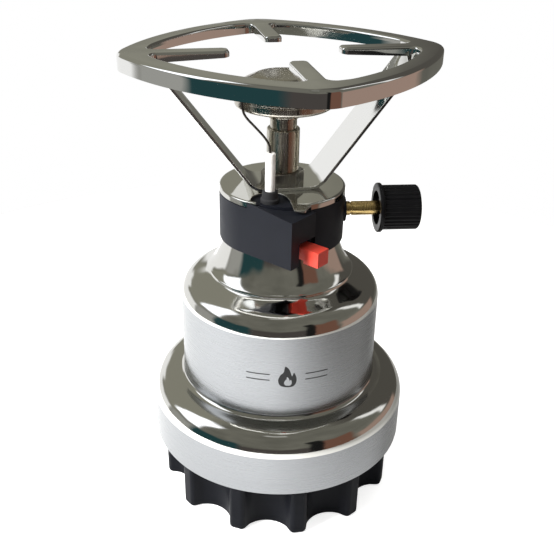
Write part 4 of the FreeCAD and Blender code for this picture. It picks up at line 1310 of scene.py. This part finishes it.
def knobSleeve():
    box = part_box("knob_insert")
    z = (box[0].z + box[1].z) / 2 / mm
    start, end, r = box[0].x / mm, box[1].x / mm, (box[1].z - box[0].z) / 2 / mm
    bore = knob["sleeveBore"]
    corners = [(bore, start, 0.3), (bore, end, 0), (r, end, 0), (r, start, 0.4)]
    piece = latheMesh("knobInsert", roundCorners(corners, 4), 72, "X", (0, 0, z))
    return dress(piece, zincSteel, "knob", "knob_insert")


knobSleeve()
print("stem and knob made")


# ------------------------------------------------------------ CAD pieces that keep their shape

kept = {
    "thread_lugs": polished, "valve_body": brass, "piercing_needle": zincSteel, "cartridge_gasket": rubber,
    "gas_jet": brass, "gland_nut": brass, "piezo_body": greyPlastic, "high_voltage_lead": silicone,
    "burner_screen": headSteel, "valve_needle": zincSteel, "spindle_seal": rubber, "cartridge_can": canPaint,
    "cartridge_dome": tinplate,
}
for nodeName, material in kept.items():
    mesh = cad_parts[nodeName].data
    mesh.materials.clear()
    mesh.materials.append(material)
print("kept CAD pieces dressed:", len(kept))


# ------------------------------------------------------------ floor, camera, light

view = {
    "place": (-37.95, -346.4, 290.4), "heading": (0.1045, 0.9945), "pitch": 27.36, "roll": 1.13,
    "lens": 52.69,
}


def photoCamera():
    data = bpy.data.cameras.new("camera")
    data.lens = view["lens"]
    data.sensor_width = 36
    data.clip_start = 0.01
    camera = bpy.data.objects.new("camera", data)
    bpy.context.scene.collection.objects.link(camera)
    hx, hy = view["heading"]
    pitch, roll = math.radians(view["pitch"]), math.radians(view["roll"])
    ahead = Vector((math.cos(pitch) * hx, math.cos(pitch) * hy, -math.sin(pitch)))
    level = Vector((hy, -hx, 0))
    upward = level.cross(ahead)
    right = level * math.cos(roll) + upward * math.sin(roll)
    top = upward * math.cos(roll) - level * math.sin(roll)
    turn = Matrix((right, top, -ahead)).transposed()
    camera.matrix_world = Matrix.Translation(Vector(view["place"]) * mm) @ turn.to_4x4()
    bpy.context.scene.camera = camera


photoCamera()


table = {"radius": 0.36, "colour": (0.93, 0.93, 0.93), "paintedShadow": (0.30, 0.295, 0.285), "glow": 0.75}


def paleFloor():
    # a round pale table top with a painted shadow towards the right, that always looks white itself
    outline = [(x / mm, y / mm) for x, y in arcPoints((0, 0.06), table["radius"], 0, 357, 119)]
    height = floorHeight / mm - 0.1
    floor = pieceFrom("floor", [(x, y, height) for x, y in outline], [tuple(range(len(outline)))])
    s = Shader("pale_floor", table["colour"], 0.0, 0.75, 0.2)
    parts = s.add("ShaderNodeSeparateXYZ")
    s.link(s.place(), parts.inputs[0])
    # painted shadow: the table's colour darkens from pale to dark grey along X towards the right
    s.link(s.mixColour(s.remap(parts.outputs[0], 0, 1, -0.03, 0.17), table["colour"], table["paintedShadow"]),
           s.surface.inputs["Base Color"])
    rays = s.add("ShaderNodeLightPath")
    glow = s.add("ShaderNodeMath", operation="MULTIPLY")
    glow.inputs[1].default_value = table["glow"]
    s.link(rays.outputs["Is Camera Ray"], glow.inputs[0])
    s.link(glow.outputs[0], s.surface.inputs["Emission Strength"])
    s.surface.inputs["Emission Color"].default_value = (1, 1, 1, 1)
    floor.data.materials.append(s.material)


paleFloor()

room = [
    # heading and half width in degrees, lowest and highest rise, softness, colour
    ("paleBackdrop", 122, 36, -24, 7, 6, (1.0, 1.0, 1.0)),
    ("greyLeft", 178, 19, -24, 12, 8, (0.36, 0.36, 0.34)),
    ("oliveBack", 120, 45, 9, 64, 9, (0.27, 0.265, 0.22)),
    ("paleDoor", 119, 10, -10, 17, 5, (1.0, 1.0, 1.0)),
    ("darkBackRight", 45, 32, -10, 64, 9, (0.085, 0.08, 0.07)),
    ("darkFront", -98, 52, -70, 9, 7, (0.07, 0.062, 0.058)),
    ("tealFrontLeft", -150, 22, -70, 15, 6, (0.018, 0.055, 0.06)),
    ("brownFrontRight", -45, 17, -50, 26, 5, (0.17, 0.085, 0.06)),
    ("blackFrontRight", -62, 5, -50, 34, 3, (0.012, 0.012, 0.012)),
    ("pinkRight", 2, 26, -60, 6, 6, (0.36, 0.255, 0.21)),
    ("windowLeft", 176, 16, 18, 60, 5, (1.7, 1.75, 1.85)),
    ("windowRight", 10, 4, 12, 52, 4, (1.0, 1.0, 1.0)),
    ("ceilingLamp", -100, 22, 70, 76, 3, (0.5, 0.5, 0.48)),
]


def studioRoom():
    # a dim room round the table, with a pale backdrop and two windows, seen only in reflections
    world = bpy.data.worlds.new("studio")
    bpy.context.scene.world = world
    world.use_nodes = True
    tree = world.node_tree
    add, link = tree.nodes.new, tree.links.new
    background = tree.nodes["Background"]
    output = tree.nodes["World Output"]

    def calc(operation, first, second=None, third=None, clamp=False):
        node = add("ShaderNodeMath")
        node.operation = operation
        node.use_clamp = clamp
        for socket, value in zip(node.inputs, (first, second, third)):
            if isinstance(value, (int, float)):
                socket.default_value = value
            elif value is not None:
                link(value, socket)
        return node.outputs[0]

    coordinate, parts = add("ShaderNodeTexCoord"), add("ShaderNodeSeparateXYZ")
    ripple = add("ShaderNodeTexNoise")
    ripple.inputs["Scale"].default_value = 3.2
    ripple.inputs["Detail"].default_value = 2.0
    wobble = add("ShaderNodeVectorMath")
    wobble.operation = "MULTIPLY_ADD"
    wobble.inputs[1].default_value = (0.16, 0.16, 0.16)
    link(coordinate.outputs["Generated"], ripple.inputs["Vector"])
    link(ripple.outputs["Color"], wobble.inputs[0])
    offset = add("ShaderNodeVectorMath")
    offset.inputs[1].default_value = (-0.08, -0.08, -0.08)
    link(coordinate.outputs["Generated"], offset.inputs[0])
    link(offset.outputs[0], wobble.inputs[2])
    even = add("ShaderNodeVectorMath")
    even.operation = "NORMALIZE"
    link(wobble.outputs[0], even.inputs[0])
    link(even.outputs[0], parts.inputs[0])
    x, y, z = parts.outputs
    rise = calc("DEGREES", calc("ARCSINE", z))
    shade = add("ShaderNodeMix")
    shade.data_type = "RGBA"
    shade.inputs[6].default_value = (0.10, 0.10, 0.085, 1)
    shade.inputs[7].default_value = (0.21, 0.205, 0.175, 1)
    link(ripple.outputs["Fac"], shade.inputs[0])
    colour = shade.outputs[2]
    for name, heading, half, low, high, soft, tint in room:
        hx, hy = math.cos(math.radians(heading)), math.sin(math.radians(heading))
        flat = calc("SQRT", calc("ADD", calc("MULTIPLY", x, x), calc("MULTIPLY", y, y)))
        along = calc("DIVIDE", calc("ADD", calc("MULTIPLY", x, hx), calc("MULTIPLY", y, hy)),
                     calc("MAXIMUM", flat, 0.0001))
        away = calc("DEGREES", calc("ARCCOSINE", calc("MINIMUM", calc("MAXIMUM", along, -1.0), 1.0)))
        side = calc("DIVIDE", calc("SUBTRACT", half + soft / 2, away), soft, clamp=True)
        bottom = calc("DIVIDE", calc("SUBTRACT", rise, low - soft / 2), soft, clamp=True)
        top = calc("DIVIDE", calc("SUBTRACT", high + soft / 2, rise), soft, clamp=True)
        factor = calc("MULTIPLY", calc("MULTIPLY", side, bottom), top)
        panel = add("ShaderNodeMix")
        panel.name = name
        panel.data_type = "RGBA"
        link(factor, panel.inputs[0])
        link(colour, panel.inputs[6])
        panel.inputs[7].default_value = (*tint, 1)
        colour = panel.outputs[2]
    link(colour, background.inputs["Color"])
    background.inputs["Strength"].default_value = 1.0
    plain = add("ShaderNodeBackground")
    plain.inputs["Color"].default_value = (1, 1, 1, 1)
    path, both = add("ShaderNodeLightPath"), add("ShaderNodeMixShader")
    link(path.outputs["Is Camera Ray"], both.inputs[0])
    link(background.outputs[0], both.inputs[1])
    link(plain.outputs[0], both.inputs[2])
    link(both.outputs[0], output.inputs["Surface"])


studioRoom()


def softLight(name, place, aim, size, power):
    # a soft lamp that polished metal doesn't mirror
    data = bpy.data.lights.new(name, "AREA")
    data.shape = "RECTANGLE"
    data.size, data.size_y = size
    data.energy = power
    lamp = bpy.data.objects.new(name, data)
    bpy.context.scene.collection.objects.link(lamp)
    lamp.location = place
    lamp.rotation_euler = (Vector(aim) - Vector(place)).to_track_quat("-Z", "Y").to_euler()
    lamp.visible_glossy = False


softLight("topLight", (0.05, 0.0, 1.5), (0, 0, 0), (1.5, 1.5), 20)
softLight("leftLight", (-0.75, -0.35, 0.5), (0, 0, 0.08), (0.35, 0.5), 19)
softLight("frontLight", (0.1, -1.5, 0.9), (0, 0, 0.1), (0.8, 0.8), 2)
bpy.context.scene.view_settings.view_transform = "Standard"
print("floor, camera and light made")
